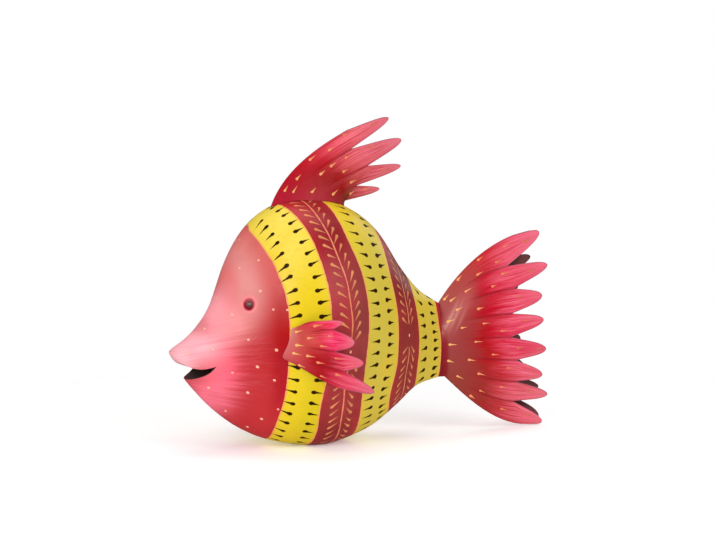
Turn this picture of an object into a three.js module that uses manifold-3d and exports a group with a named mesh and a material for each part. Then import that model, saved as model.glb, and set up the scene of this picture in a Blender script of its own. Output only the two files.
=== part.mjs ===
// A painted sheet-metal fish ornament that stands on its belly. Millimetres, +X towards the tail, +Z up,
// the fish's left side towards -Y, the origin under the middle of its length on the surface it stands on.
import * as THREE from "three";
import { mergeVertices } from "three/addons/utils/BufferGeometryUtils.js";
import Module from "manifold-3d";

// Driving dimensions
const LENGTH = 468;
const NOSE_X = -LENGTH / 2;
const TAIL_X = LENGTH / 2;
const NOSE_Z = 110;
const NECK_X = 93;
const NECK_TOP = 150;
const NECK_BOTTOM = 64.5;
const NECK_HALF_WIDTH = 9;
const SHEET = 1.2;
const GAP = 0.3;
const STUB_LENGTH = 8;

// Blocks that cut right across the fish, and how close points are when they count as one
const CUT_WIDTH = 300;
const CUT_DEPTH = 20;
const WELD = 1e-4;

// The body's profile from above and from the side, as [x, value] stations
const TOP_LINE = [
  [NOSE_X, NOSE_Z], [-227, 115.5], [-216, 123], [-200, 137.5], [-182, 163], [-162, 212], [-140, 244],
  [-127, 255.5], [-114, 263.5], [-95, 269.5], [-67, 270.5], [-27, 263], [8, 238], [38, 197], [66, 167],
  [NECK_X, NECK_TOP],
];
const BOTTOM_LINE = [
  [NOSE_X, NOSE_Z], [-226, 97.5], [-218, 83], [-202, 63], [-172, 35], [-137, 14], [-97, 2], [-62, -2.5],
  [-27, 4], [3, 15], [33, 34.5], [63, 56], [NECK_X, NECK_BOTTOM],
];
const HALF_WIDTH = [
  [NOSE_X, 0], [-231, 9], [-224, 14.5], [-212, 19.5], [-192, 29], [-167, 44], [-132, 76], [-97, 92],
  [-67, 92], [-22, 77], [28, 49], [64, 25], [NECK_X, NECK_HALF_WIDTH],
];

// The mouth: the lips' edges back to the corner, clear of the face in front of them, and how far the
// hollow goes on inside, behind the solid tip of the snout
const CLEAR_ABOVE = [[-244, 122], [-231.5, 106.5]];
const LIP_UPPER = [[-228, 102.4], [-224, 98.8], [-218, 95.2], [-211.5, 93], [-204.8, 92.3], [-197, 93.7]];
const MOUTH_CORNER = [-191, 95.5];
const LIP_LOWER = [[-195.5, 89.8], [-200.4, 86], [-207.8, 82.6], [-216, 80]];
const CLEAR_BELOW = [-244, 79];
const MOUTH_FRONT_X = -220;
const MOUTH_BACK_X = -172;
const MOUTH_ROOM = 5;
const MOUTH_WALL = 2.5;
const MOUTH_LAP = 4;

// The punched eyes and their beads
const EYE_X = -160;
const EYE_Z = 162.5;
const DIMPLE_RADIUS = 7.3;
const DIMPLE_DEPTH = 3.5;
const BEAD_RADIUS = 3.5;
const BEAD_HEIGHT = 2.2;

// The tail fin: two sheets of fingers that part like a funnel. A valley lies between two fingers, as
// [x, distance from the middle plane, z]; the first and the last are where the two sheets meet. The right
// sheet was cut by hand too: all its fingers but the first sit a little higher.
const TAIL_VALLEYS = [
  [194, 0, 225], [178, 10, 189.5], [183, 17, 164], [178.5, 21.5, 135.5], [175.5, 23.5, 108.5],
  [185, 20, 81], [187.5, 13.5, 55.5], [188, 7.5, 31.5], [205, 0, 2.5],
];
const TAIL_TIPS = [
  [223, 7, 225.5], [227, 19, 190.5], [215.5, 27, 155], [215, 31.5, 127.5],
  [220, 29, 94], [220, 21.5, 62.5], [TAIL_X, 10, 37], [230, 4, 6],
];
// How long the sleeve round the neck is
const TAIL_SLEEVE_TOP = 0.8;
const TAIL_SLEEVE_BOTTOM = 9;
const TAIL_RIDGE = 2.4;
const TAIL_RIDGE_LEAN = 50;
const TAIL_RIGHT_RISE = 7;
// The outermost creases' angles at the foot and at the valley, above and below
const TAIL_FAN_UP = [55, 16];
const TAIL_FAN_DOWN = [42, 8];

// The dorsal fin in the middle plane, as [x, z]; its foot follows the body's back
const DORSAL_FOOT_X = [-115, -88, -62, -40, -26];
const DORSAL_VALLEYS = [[-22, 347.5], [-17, 326.5], [3.5, 307.5], [-10.5, 285.5], [-26, 268.6]];
const DORSAL_TIPS = [[29.5, 360.5], [45, 337], [44.5, 306], [17.5, 280.5]];
const DORSAL_START_ANGLES = [70, 58, 53, 48, 80];
const DORSAL_END_ANGLES = [27, 27, 24, 20, 80];
const DORSAL_HALF_FOOT = 9;
const DORSAL_RIDGE = 1.6;

// A side fin, as [x, distance out from the body, z]; its root follows the body
const SIDE_ROOT = [[-125.5, 138.5], [-127.5, 130], [-129.5, 120.5], [-133.5, 108.5], [-129, 104]];
const SIDE_VALLEYS = [[-109, 11, 147], [-94, 21, 139], [-93.5, 25, 116], [-82, 27, 94.5], [-83, 16, 75.5]];
const SIDE_TIPS = [[-83.5, 20, 147], [-72, 29, 125], [-62, 33, 103.5], [-41.5, 32, 68.5]];
const SIDE_START_ANGLES = [22, 8, -5, -26, -30];
const SIDE_END_ANGLES = [6, -3, -8, -20, -26];
const SIDE_RIDGE = 2.5;

// How finely the curved faces are cut, and how much closer the body's rings lie towards the nose
const BODY_RINGS = 36;
const BODY_SIDES = 36;
const RING_CROWDING = 1.4;
const MOUTH_RINGS = 14;
const DIMPLE_CUTS = [20, 14];
const BEAD_CUTS = [12, 8];
const FINGER_COLUMNS = 4;
const CREASE_ROWS = 5;
const LEAF_ROWS = 5;

// The leaf shape of a finger's end: how much it narrows, and how blunt its tip is
const TAIL_TAPER = 0.6;
const DORSAL_TAPER = 0.6;
const SIDE_TAPER = 0.6;
const LEAF_ROUNDNESS = 7;

// How soon the arch of a finger rises from the foot and how it fades in the leaf, and how much of its way
// out a crease has come at its two handles
const RIDGE_START = 0.1;
const RIDGE_FULL = 0.8;
const RIDGE_FADE = 0.7;
const CREASE_SPREAD = [0.22, 0.62];

const at = (x, y, z) => new THREE.Vector3(x, y, z);
const mix = (a, b, t) => a + (b - a) * t;
const radians = THREE.MathUtils.degToRad;

// A smooth curve through [x, value] stations, as a function of x
function through(stations) {
  const rise = (i) => (stations[i + 1][1] - stations[i][1]) / (stations[i + 1][0] - stations[i][0]);
  const last = stations.length - 1;
  const slope = stations.map(([x], i) => {
    if (i === 0) return rise(0);
    if (i === last) return rise(last - 1);
    const before = x - stations[i - 1][0];
    const after = stations[i + 1][0] - x;
    return (rise(i - 1) * after + rise(i) * before) / (before + after);
  });
  return (x) => {
    const inside = Math.min(Math.max(x, stations[0][0]), stations[last][0]);
    const next = stations.findIndex(([stationX], i) => i > 0 && inside <= stationX);
    const [startX, start] = stations[next - 1];
    const [endX, end] = stations[next];
    const span = endX - startX;
    const t = (inside - startX) / span;
    const back = 1 - t;
    const ends = (1 + 2 * t) * back * back * start + t * t * (3 - 2 * t) * end;
    return ends + t * back * span * (back * slope[next - 1] - t * slope[next]);
  };
}

const topAt = through(TOP_LINE);
const bottomAt = through(BOTTOM_LINE);
const halfWidthAt = through(HALF_WIDTH);

// The body's cross-section is an ellipse; inset moves it inwards
function bodyRing(x, inset = 0, sides = BODY_SIDES) {
  const middle = (topAt(x) + bottomAt(x)) / 2;
  const high = (topAt(x) - bottomAt(x)) / 2 - inset;
  const wide = halfWidthAt(x) - inset;
  return Array.from({ length: sides }, (_, i) => {
    const angle = (2 * Math.PI * (i + 0.5)) / sides;
    return at(x, wide * Math.cos(angle), middle + high * Math.sin(angle));
  });
}

// The y of the body's surface on the fish's left, and the direction that points straight out of it
function leftY(x, z) {
  const middle = (topAt(x) + bottomAt(x)) / 2;
  const high = (topAt(x) - bottomAt(x)) / 2;
  return -halfWidthAt(x) * Math.sqrt(Math.max(0, 1 - ((z - middle) / high) ** 2));
}

function leftOutward(x, z) {
  const step = 0.5;
  const alongX = (leftY(x + step, z) - leftY(x - step, z)) / (2 * step);
  const alongZ = (leftY(x, z + step) - leftY(x, z - step)) / (2 * step);
  return at(alongX, -1, alongZ).normalize();
}

function offBody(x, z, distance) {
  return at(x, leftY(x, z), z).addScaledVector(leftOutward(x, z), distance);
}

// A closed skin of rings, with a point at each end
function loft(rings, start, end) {
  const sides = rings[0].length;
  const points = [start, ...rings.flat(), end];
  const index = [];
  const ringPoint = (ring, side) => 1 + ring * sides + (side % sides);
  for (let side = 0; side < sides; side += 1) {
    index.push(0, ringPoint(0, side + 1), ringPoint(0, side));
    for (let ring = 0; ring < rings.length - 1; ring += 1) {
      const a = ringPoint(ring, side);
      const b = ringPoint(ring, side + 1);
      const c = ringPoint(ring + 1, side + 1);
      const d = ringPoint(ring + 1, side);
      index.push(a, b, c, a, c, d);
    }
    index.push(points.length - 1, ringPoint(rings.length - 1, side), ringPoint(rings.length - 1, side + 1));
  }
  return geometryOf(points, index);
}

function geometryOf(points, index) {
  const geometry = new THREE.BufferGeometry();
  const flat = points.flatMap((p) => [p.x, p.y, p.z]);
  geometry.setAttribute("position", new THREE.Float32BufferAttribute(flat, 3));
  geometry.setIndex(index);
  return geometry;
}

// Joins and cuts
const wasm = await Module();
wasm.setup();

function welded(geometry) {
  const bare = geometry.clone();
  bare.deleteAttribute("normal");
  bare.deleteAttribute("uv");
  return mergeVertices(bare, WELD);
}

function solidOf(geometry) {
  const merged = welded(geometry);
  return new wasm.Manifold(new wasm.Mesh({
    numProp: 3,
    vertProperties: merged.attributes.position.array,
    triVerts: new Uint32Array(merged.index.array),
  }));
}

function geometryFrom(solid) {
  const mesh = solid.getMesh();
  const geometry = new THREE.BufferGeometry();
  geometry.setAttribute("position", new THREE.Float32BufferAttribute(mesh.vertProperties, 3));
  geometry.setIndex(Array.from(mesh.triVerts));
  return geometry;
}

// A block whose outline in the X-Z plane is given, across the whole width of the fish
function acrossWidth(outline) {
  const shape = new THREE.Shape(outline.map(([x, z]) => new THREE.Vector2(x, z)));
  const block = new THREE.ExtrudeGeometry(shape, { depth: CUT_WIDTH, bevelEnabled: false });
  block.rotateX(Math.PI / 2);
  block.translate(0, CUT_WIDTH / 2, 0);
  return solidOf(block);
}

function bodySkin(inset, fromX, toX, rings) {
  const loops = Array.from({ length: rings }, (_, i) => {
    const t = (i + 1) / rings;
    return bodyRing(mix(fromX, toX, t ** RING_CROWDING), inset);
  });
  const [start, end] = [fromX, toX].map((x) => at(x, 0, (topAt(x) + bottomAt(x)) / 2));
  return { loops, start, end };
}

function mouthHollow() {
  const lips = [...CLEAR_ABOVE, ...LIP_UPPER, MOUTH_CORNER, ...LIP_LOWER, CLEAR_BELOW];
  const raised = LIP_UPPER.map(([x, z]) => [x, z + MOUTH_ROOM]);
  const lowered = LIP_LOWER.map(([x, z]) => [x, z - MOUTH_ROOM]);
  const [cornerX, cornerZ] = MOUTH_CORNER;
  const behind = [
    [cornerX, cornerZ + MOUTH_ROOM], [MOUTH_BACK_X, cornerZ + MOUTH_ROOM / 2],
    [MOUTH_BACK_X, cornerZ - MOUTH_ROOM], [cornerX, cornerZ - 2 * MOUTH_ROOM],
  ];
  const inner = bodySkin(MOUTH_WALL, MOUTH_FRONT_X, MOUTH_BACK_X + MOUTH_LAP, MOUTH_RINGS);
  const innerSkin = solidOf(loft(inner.loops, inner.start, inner.end));
  const throat = acrossWidth([...raised, ...behind, ...lowered]).intersect(innerSkin);
  return acrossWidth(lips).add(throat);
}

function eyeDimple(side) {
  const radius = (DIMPLE_RADIUS ** 2 + DIMPLE_DEPTH ** 2) / (2 * DIMPLE_DEPTH);
  const ball = new THREE.SphereGeometry(radius, ...DIMPLE_CUTS);
  const centre = offBody(EYE_X, EYE_Z, radius - DIMPLE_DEPTH);
  ball.translate(centre.x, centre.y * side, centre.z);
  return solidOf(ball);
}

function body() {
  const skin = bodySkin(0, NOSE_X, NECK_X, BODY_RINGS);
  const sleeveRoom = SHEET + GAP;
  const stub = bodyRing(NECK_X, sleeveRoom);
  const stubEnd = stub.map((p) => p.clone().setX(NECK_X + STUB_LENGTH));
  const end = skin.end.clone().setX(NECK_X + STUB_LENGTH);
  const whole = solidOf(loft([...skin.loops, stub, stubEnd], skin.start, end));
  const ground = acrossWidth([[NOSE_X, -CUT_DEPTH], [TAIL_X, -CUT_DEPTH], [TAIL_X, 0], [NOSE_X, 0]]);
  const hollows = [ground, mouthHollow(), eyeDimple(1), eyeDimple(-1)];
  return geometryFrom(hollows.reduce((solid, hollow) => solid.subtract(hollow), whole));
}

function eyeBead(side) {
  const bead = new THREE.SphereGeometry(BEAD_RADIUS, ...BEAD_CUTS);
  bead.scale(1, BEAD_HEIGHT / BEAD_RADIUS, 1);
  const out = leftOutward(EYE_X, EYE_Z);
  const turn = new THREE.Quaternion().setFromUnitVectors(at(0, 1, 0), out);
  bead.applyQuaternion(turn);
  const centre = offBody(EYE_X, EYE_Z, BEAD_HEIGHT + GAP - DIMPLE_DEPTH);
  bead.translate(centre.x, centre.y, centre.z);
  return side > 0 ? bead : mirrored(bead);
}

// The same shape on the fish's other side, with its faces turned to point out again
function mirrored(geometry) {
  const copy = welded(geometry);
  copy.scale(1, -1, 1);
  const index = Array.from(copy.index.array);
  for (let i = 0; i < index.length; i += 3) {
    [index[i], index[i + 1]] = [index[i + 1], index[i]];
  }
  copy.setIndex(index);
  return copy;
}

// A thin sheet as a mid-surface. Points that fall together are one, and a swell is the extra half
// thickness at a point.
class Sheet {
  points = [];
  swells = [];
  triangles = [];
  known = new Map();

  point({ place, swell }) {
    const key = [place.x, place.y, place.z].map((value) => Math.round(value * 1e3)).join();
    if (!this.known.has(key)) {
      this.known.set(key, this.points.length);
      this.points.push(place);
      this.swells.push(swell);
    }
    return this.known.get(key);
  }

  triangle(a, b, c) {
    if (a !== b && b !== c && c !== a) this.triangles.push([a, b, c]);
  }

  patch(rows, flip) {
    const ids = rows.map((row) => row.map((entry) => this.point(entry)));
    for (let i = 0; i < ids.length - 1; i += 1) {
      for (let j = 0; j < ids[i].length - 1; j += 1) {
        const corners = [ids[i][j], ids[i][j + 1], ids[i + 1][j + 1], ids[i + 1][j]];
        const [a, b, c, d] = flip ? corners.reverse() : corners;
        this.triangle(a, b, c);
        this.triangle(a, c, d);
      }
    }
  }

  normals() {
    const sums = this.points.map(() => at(0, 0, 0));
    for (const [a, b, c] of this.triangles) {
      const side = this.points[b].clone().sub(this.points[a]);
      const face = side.cross(this.points[c].clone().sub(this.points[a]));
      [a, b, c].forEach((id) => sums[id].add(face));
    }
    return sums.map((sum) => sum.normalize());
  }

  // The closed solid: both faces of the sheet, and a wall along its free edge
  solid(thickness) {
    const count = this.points.length;
    const normals = this.normals();
    const moved = (sign) => this.points.map((p, i) => {
      return p.clone().addScaledVector(normals[i], sign * (thickness / 2 + this.swells[i]));
    });
    const index = this.triangles.flat();
    index.push(...this.triangles.flatMap(([a, b, c]) => [c + count, b + count, a + count]));
    const edges = this.triangles.flatMap(([a, b, c]) => [[a, b], [b, c], [c, a]]);
    const directed = new Set(edges.map(([a, b]) => `${a}>${b}`));
    for (const [a, b] of edges) {
      if (!directed.has(`${b}>${a}`)) index.push(b, a, a + count, b, a + count, b + count);
    }
    return geometryOf([...moved(1), ...moved(-1)], index);
  }
}

// A crease runs from the foot to a valley, leaving and arriving at angles in the X-Z plane
function creaseCurve(start, startAngle, end, endAngle) {
  const reach = start.distanceTo(end) / 3;
  const heading = (angle) => at(Math.cos(radians(angle)), 0, Math.sin(radians(angle)));
  const first = start.clone().addScaledVector(heading(startAngle), reach);
  const second = end.clone().addScaledVector(heading(endAngle), -reach);
  [first.y, second.y] = CREASE_SPREAD.map((share) => mix(start.y, end.y, share));
  return new THREE.CubicBezierCurve3(start, first, second, end);
}

// How much of its full height a finger's ridge has, at t of the way up the strip
function ridgeRise(t) {
  return THREE.MathUtils.smoothstep(t, RIDGE_START, RIDGE_FULL);
}

// Fingers side by side. Each is a strip between two creases that goes on past its valleys as a leaf.
// foot(s) is the point of the foot at finger number s, ridge(s) the way a finger is arched, and
// swell(s, t) the extra half thickness at t of the way up the strip.
function fingers({ foot, creases, tips, taper, ridge, swell }) {
  return tips.map((tip, number) => {
    const left = creases[number];
    const right = creases[number + 1];
    const arch = (u) => 1 - (2 * u - 1) ** 2;
    const columns = Array.from({ length: FINGER_COLUMNS + 1 }, (_, j) => j / FINGER_COLUMNS);
    const rows = [];
    for (let i = 0; i <= CREASE_ROWS; i += 1) {
      const t = i / CREASE_ROWS;
      const [a, b] = [left.getPoint(t), right.getPoint(t)];
      rows.push(columns.map((u) => {
        const bow = foot(number + u).sub(foot(number).lerp(foot(number + 1), u));
        const place = a.clone().lerp(b, u).addScaledVector(bow, (1 - t) ** 2);
        place.addScaledVector(ridge(number + u), arch(u) * ridgeRise(t));
        return { place, swell: swell(number + u, t, arch(u)) };
      }));
    }
    const [leftValley, rightValley] = [left.getPoint(1), right.getPoint(1)];
    const middle = leftValley.clone().lerp(rightValley, 0.5);
    for (let i = 1; i <= LEAF_ROWS; i += 1) {
      const q = Math.sin((Math.PI / 2) * (i / LEAF_ROWS));
      const width = (1 - taper * q) * Math.sqrt(1 - q ** LEAF_ROUNDNESS);
      const centre = middle.clone().lerp(tip, q);
      const shift = centre.clone().sub(middle);
      const [a, b] = [leftValley, rightValley].map((v) => middle.clone().lerp(v, width).add(shift));
      rows.push(columns.map((u) => {
        const place = a.clone().lerp(b, u);
        place.addScaledVector(ridge(number + u), arch(u) * (1 - q) ** RIDGE_FADE);
        return { place, swell: swell(number + u, 1, arch(u)) * (1 - q) };
      }));
    }
    return rows;
  });
}

function mapRows(rows, change) {
  return rows.map((row) => row.map(({ place, swell }) => ({ place: change(place), swell })));
}

function tailFin() {
  const count = TAIL_TIPS.length;
  const middle = (NECK_TOP + NECK_BOTTOM) / 2;
  const high = (NECK_TOP - NECK_BOTTOM - SHEET) / 2;
  const wide = NECK_HALF_WIDTH - SHEET / 2;
  // How far along the fan a crease is, from 1 at the top through 0 to -1 at the bottom
  const lift = (s) => 1 - (2 * s) / count;
  const foot = (s) => {
    const angle = (Math.PI * s) / count;
    const sleeve = mix(TAIL_SLEEVE_TOP, TAIL_SLEEVE_BOTTOM, Math.sin(angle / 2));
    return at(NECK_X + sleeve, -wide * Math.sin(angle), middle + high * Math.cos(angle));
  };
  const ridge = (s) => {
    const lean = radians(TAIL_RIDGE_LEAN * lift(s));
    return at(0, -Math.cos(lean), Math.sin(lean)).multiplyScalar(TAIL_RIDGE);
  };
  const leftSheet = (rise) => {
    const creases = TAIL_VALLEYS.map(([x, apart, z], k) => {
      const joined = k === 0 || k === count;
      const spread = lift(k) > 0 ? TAIL_FAN_UP : TAIL_FAN_DOWN;
      const [startAngle, endAngle] = spread.map((angle) => angle * lift(k));
      const end = at(x, -apart, z + (joined ? 0 : rise));
      return creaseCurve(foot(k), startAngle, end, endAngle);
    });
    const tips = TAIL_TIPS.map(([x, apart, z], k) => at(x, -apart, z + (k === 0 ? 0 : rise)));
    const fan = fingers({ foot, creases, tips, taper: TAIL_TAPER, ridge, swell: () => 0 });
    return fan.map((rows) => {
      return [...mapRows([rows[0]], (place) => place.clone().setX(NECK_X + GAP)), ...rows];
    });
  };
  const sheet = new Sheet();
  leftSheet(0).forEach((rows) => sheet.patch(rows, false));
  leftSheet(TAIL_RIGHT_RISE).forEach((rows) => {
    sheet.patch(mapRows(rows, (place) => at(place.x, -place.y, place.z)), true);
  });
  return sheet.solid(SHEET);
}

function dorsalFin() {
  const footAt = (s) => {
    const whole = Math.min(Math.floor(s), DORSAL_FOOT_X.length - 2);
    const x = mix(DORSAL_FOOT_X[whole], DORSAL_FOOT_X[whole + 1], s - whole);
    return at(x, 0, topAt(x) + GAP);
  };
  const creases = DORSAL_VALLEYS.map(([x, z], k) => {
    return creaseCurve(footAt(k), DORSAL_START_ANGLES[k], at(x, 0, z), DORSAL_END_ANGLES[k]);
  });
  const tips = DORSAL_TIPS.map(([x, z]) => at(x, 0, z));
  const across = (s) => Math.sin((Math.PI * s) / tips.length);
  const swell = (s, t, arch) => {
    return across(s) * (1 - t) * DORSAL_HALF_FOOT + arch * ridgeRise(t) * DORSAL_RIDGE;
  };
  const sheet = new Sheet();
  const flat = () => at(0, 0, 0);
  for (const rows of fingers({ foot: footAt, creases, tips, taper: DORSAL_TAPER, ridge: flat, swell })) {
    sheet.patch(rows, false);
  }
  return sheet.solid(SHEET);
}

// Worked out as if the body were flat, with y as the distance off it, and then laid over the body
function sideFin() {
  const rootX = through(SIDE_ROOT.map(([x], s) => [s, x]));
  const rootZ = through(SIDE_ROOT.map(([, z], s) => [s, z]));
  const foot = (s) => at(rootX(s), SHEET / 2 + GAP, rootZ(s));
  const creases = SIDE_VALLEYS.map(([x, off, z], k) => {
    return creaseCurve(foot(k), SIDE_START_ANGLES[k], at(x, off, z), SIDE_END_ANGLES[k]);
  });
  const tips = SIDE_TIPS.map(([x, off, z]) => at(x, off, z));
  const sheet = new Sheet();
  const ridge = () => at(0, SIDE_RIDGE, 0);
  for (const rows of fingers({ foot, creases, tips, taper: SIDE_TAPER, ridge, swell: () => 0 })) {
    sheet.patch(mapRows(rows, (p) => at(p.x, leftY(p.x, p.z) - p.y, p.z)), false);
  }
  return sheet.solid(SHEET);
}

// The painted sheet metal, by its main colours
function paint(color, roughness, metalness) {
  return new THREE.MeshStandardMaterial({ color, roughness, metalness });
}

function piece(name, geometry, material) {
  geometry.computeVertexNormals();
  const mesh = new THREE.Mesh(geometry, material);
  mesh.name = name;
  return mesh;
}

const yellow = paint(0xe8c82a, 0.42, 0);
const crimson = paint(0xc82a44, 0.42, 0);
const glossyBrown = paint(0x2a120c, 0.1, 0);

const group = new THREE.Group();
group.add(
  piece("body", body(), yellow),
  piece("tail_fin", tailFin(), crimson),
  piece("dorsal_fin", dorsalFin(), crimson),
  piece("side_fin_left", sideFin(), crimson),
  piece("side_fin_right", mirrored(sideFin()), crimson),
  piece("eye_left", eyeBead(1), glossyBrown),
  piece("eye_right", eyeBead(-1), glossyBrown),
);

export default group;
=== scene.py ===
"""A painted sheet-metal fish that stands on its belly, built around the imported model.

The frame: metres, +X towards the tail, +Z up, the fish's left side towards -Y, the floor at z = 0.
"""

import math
from functools import partial, reduce

import bpy
import numpy as np
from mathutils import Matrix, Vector


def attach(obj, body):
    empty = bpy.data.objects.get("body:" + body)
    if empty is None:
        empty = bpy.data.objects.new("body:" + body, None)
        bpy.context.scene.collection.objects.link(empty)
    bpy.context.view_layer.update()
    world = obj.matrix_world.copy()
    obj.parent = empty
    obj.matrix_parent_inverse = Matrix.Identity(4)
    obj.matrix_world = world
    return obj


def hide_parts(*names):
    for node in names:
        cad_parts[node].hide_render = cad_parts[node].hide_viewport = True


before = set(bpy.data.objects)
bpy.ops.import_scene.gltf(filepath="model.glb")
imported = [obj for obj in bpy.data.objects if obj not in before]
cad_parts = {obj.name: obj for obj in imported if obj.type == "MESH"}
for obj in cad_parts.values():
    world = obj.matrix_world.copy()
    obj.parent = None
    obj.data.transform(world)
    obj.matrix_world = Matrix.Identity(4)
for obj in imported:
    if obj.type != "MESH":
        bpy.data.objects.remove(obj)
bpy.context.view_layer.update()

MM = 0.001


def mm(values):
    """Millimetres as metres."""
    return np.asarray(values, float) * MM


# The body's profile from the side and from above, as [x, value] stations from the nose to the neck
LENGTH = mm(468)
NOSE_X = -LENGTH / 2
NECK_X = mm(93)
TOP_LINE = mm([
    [-234, 110], [-227, 115.5], [-216, 123], [-200, 137.5], [-182, 163], [-162, 212], [-140, 244],
    [-127, 255.5], [-114, 263.5], [-95, 269.5], [-67, 270.5], [-27, 263], [8, 238], [38, 197], [66, 167],
    [93, 150],
])
BOTTOM_LINE = mm([
    [-234, 110], [-226, 97.5], [-218, 83], [-202, 63], [-172, 35], [-137, 14], [-97, 2], [-62, -2.5],
    [-27, 4], [3, 15], [33, 34.5], [63, 56], [93, 64.5],
])
HALF_WIDTH = mm([
    [-234, 0], [-231, 9], [-224, 14.5], [-212, 19.5], [-192, 29], [-167, 44], [-132, 76], [-97, 92],
    [-67, 92], [-22, 77], [28, 49], [64, 25], [93, 9],
])
STUB_LENGTH = mm(8)
BODY_SHEET = mm(1.0)

# The mouth's edges in the X-Z plane, and how far back the hollow behind it is open
MOUTH_CORNER = mm([-191, 95.5])
UPPER_LIP = mm([
    [-231.5, 106.5], [-228, 102.4], [-224, 98.8], [-218, 95.2], [-211.5, 93], [-204.8, 92.3], [-197, 93.7],
])
LOWER_LIP = mm([[-244, 79], [-216, 80], [-207.8, 82.6], [-200.4, 86], [-195.5, 89.8]])
MOUTH_FRONT_X = mm(-216)
THROAT_X = mm(-172)
MOUTH_SHADE = mm([-216, -208])

# The punched eyes and their beads
EYE = mm([-160, 162.5])
DIMPLE_RADIUS = mm(7.3)
DIMPLE_DEPTH = mm(3.5)
DIMPLE_RIM = mm(0.35)
RIM_AT = 1.08
RIM_REACH = 0.16
BEAD_RADIUS = mm(3.5)
BEAD_HEIGHT = mm(2.2)

# Brush streaks fan out over the cheeks and the jaw, from a centre in front of the mouth
FAN_CENTRE = mm([-330, 90])
STREAKS_NEAR = mm([5, 28])
STREAKS_FAR = mm([38, 62])
STREAK_REACH = mm(2.2)
STREAK_WAVES = [(86, 0, 1), (194, 1, 1), (342, 2, 0.8)]
HAIRS = 60
HAIR_LENGTH = mm(45)
HAIR_DEPTH = mm(400)

# The painted bands: the lines between them, as [z, x]
BAND_LINES = [mm(line) for line in (
    [[10, -125.3], [21, -127.4], [38, -128.1], [52, -127], [68, -126.6], [85, -127.2], [110, -127.5],
     [148, -126.8], [174, -129.6], [183, -131.2], [194, -133.5], [207, -135.4], [217, -137], [229, -138.3],
     [240, -141]],
    [[6, -81], [53, -89], [115, -85], [191, -88], [243, -98.5], [268, -108]],
    [[8, -26], [69, -38], [148, -35], [194, -40], [231, -51.5], [266, -57]],
    [[22, 23], [47, 10], [95, 13], [147, 11], [195, 4], [237, 0]],
    [[56, 57], [77, 53], [98, 53], [143, 50], [179, 46]],
    [[67, 92.6], [93, 92.6], [109, 91.4], [128, 88], [139, 87.2], [150, 87.2]],
)]

# The first line leans forward on the left of the brow and back on its right, between these heights
BROW_LEAN = mm(4)
BROW_SPREAD = mm(12)
BROW_HEIGHTS = mm([200, 235])
LINE_WAVE = mm(0.35)
LINE_WAVE_LENGTH = mm(13)
BEYOND_LINES = mm(200)

# The tail fin: a valley lies between two fingers, as [x, distance from the middle plane, z]
TAIL_VALLEYS = mm([
    [194, 0, 225], [178, 10, 189.5], [183, 17, 164], [178.5, 21.5, 135.5], [175.5, 23.5, 108.5],
    [185, 20, 81], [187.5, 13.5, 55.5], [188, 7.5, 31.5], [205, 0, 2.5],
])
TAIL_TIPS = mm([
    [223, 7, 225.5], [227, 19, 190.5], [215.5, 27, 155], [215, 31.5, 127.5],
    [220, 29, 94], [220, 21.5, 62.5], [233.9, 10, 37], [230, 4, 6],
])
TAIL_SLEEVE = mm([0.8, 9])
TAIL_RIDGE = mm(2.4)
TAIL_RIDGE_LEAN = 50
TAIL_RIGHT_RISE = mm(7)
TAIL_FAN_UP = np.array([55, 16])
TAIL_FAN_DOWN = np.array([42, 8])

# The dorsal fin in the middle plane, as [x, z]; its foot follows the body's back
DORSAL_FOOT_X = mm([-115, -88, -62, -40, -26])
DORSAL_VALLEYS = mm([[-22, 347.5], [-17, 326.5], [3.5, 307.5], [-10.5, 285.5], [-26, 268.6]])
DORSAL_TIPS = mm([[29.5, 360.5], [45, 337], [44.5, 306], [17.5, 280.5]])
DORSAL_START_ANGLES = [70, 58, 53, 48, 80]
DORSAL_END_ANGLES = [27, 27, 24, 20, 80]
DORSAL_HALF_FOOT = mm(9)
DORSAL_RIDGE = mm(1.6)

# A side fin, as [x, distance out from the body, z]; its root follows the body
SIDE_ROOT = mm([[-125.5, 138.5], [-127.5, 130], [-129.5, 120.5], [-133.5, 108.5], [-129, 104]])
SIDE_VALLEYS = mm([[-109, 11, 147], [-94, 21, 139], [-93.5, 25, 116], [-82, 27, 94.5], [-83, 16, 75.5]])
SIDE_TIPS = mm([[-83.5, 20, 147], [-72, 29, 125], [-62, 33, 103.5], [-41.5, 32, 68.5]])
SIDE_START_ANGLES = [22, 8, -5, -26, -30]
SIDE_END_ANGLES = [6, -3, -8, -20, -26]
SIDE_RIDGE = mm(2.5)

# The fins' sheet metal, and the leaf shape of a finger's end
FIN_SHEET = mm(0.8)
SEAM = mm(0.3)
LEAF_TAPER = 0.6
LEAF_ROUNDNESS = 7
RIDGE_START = 0.1
RIDGE_FULL = 0.8
RIDGE_FADE = 0.7
CREASE_SPREAD = (0.22, 0.62)

# How far the painted shade of creases and the paint of free edges reach, where along the fin the creases'
# painted shade begins to show, how much of it shows in a leaf, and about how long a fin is
CREASE_REACH = mm(2.4)
CREASE_FROM = (0.22, 0.5)
LEAF_CREASE = 0.3
EDGE_REACH = mm(1.3)
FIN_LENGTH = mm(130)

# Kinds of faces of a fin's sheet
PAINTED, BARE, CUT = 0.0, 1.0, 2.0

# Lengths below this count as this, so that nothing is divided by 0 at the nose's point
LEAST = 1e-12

# How finely the pieces are cut
BODY_RINGS = 230
BODY_SIDES = 300
HOLLOW_RINGS = 50
LIP_POINTS = 60
FINE_PLACES = 4000
PATH_POINTS = 1500
PATH_ROUNDS = 30
FINGER_COLUMNS = 20
STRIP_ROWS = 40
LEAF_ROWS = 26
BEAD_ROWS = 24
BEAD_SIDES = 40
BODY_EDGE_ANGLE = 40
FIN_EDGE_ANGLE = 50
WELD = mm(0.002)

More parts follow.
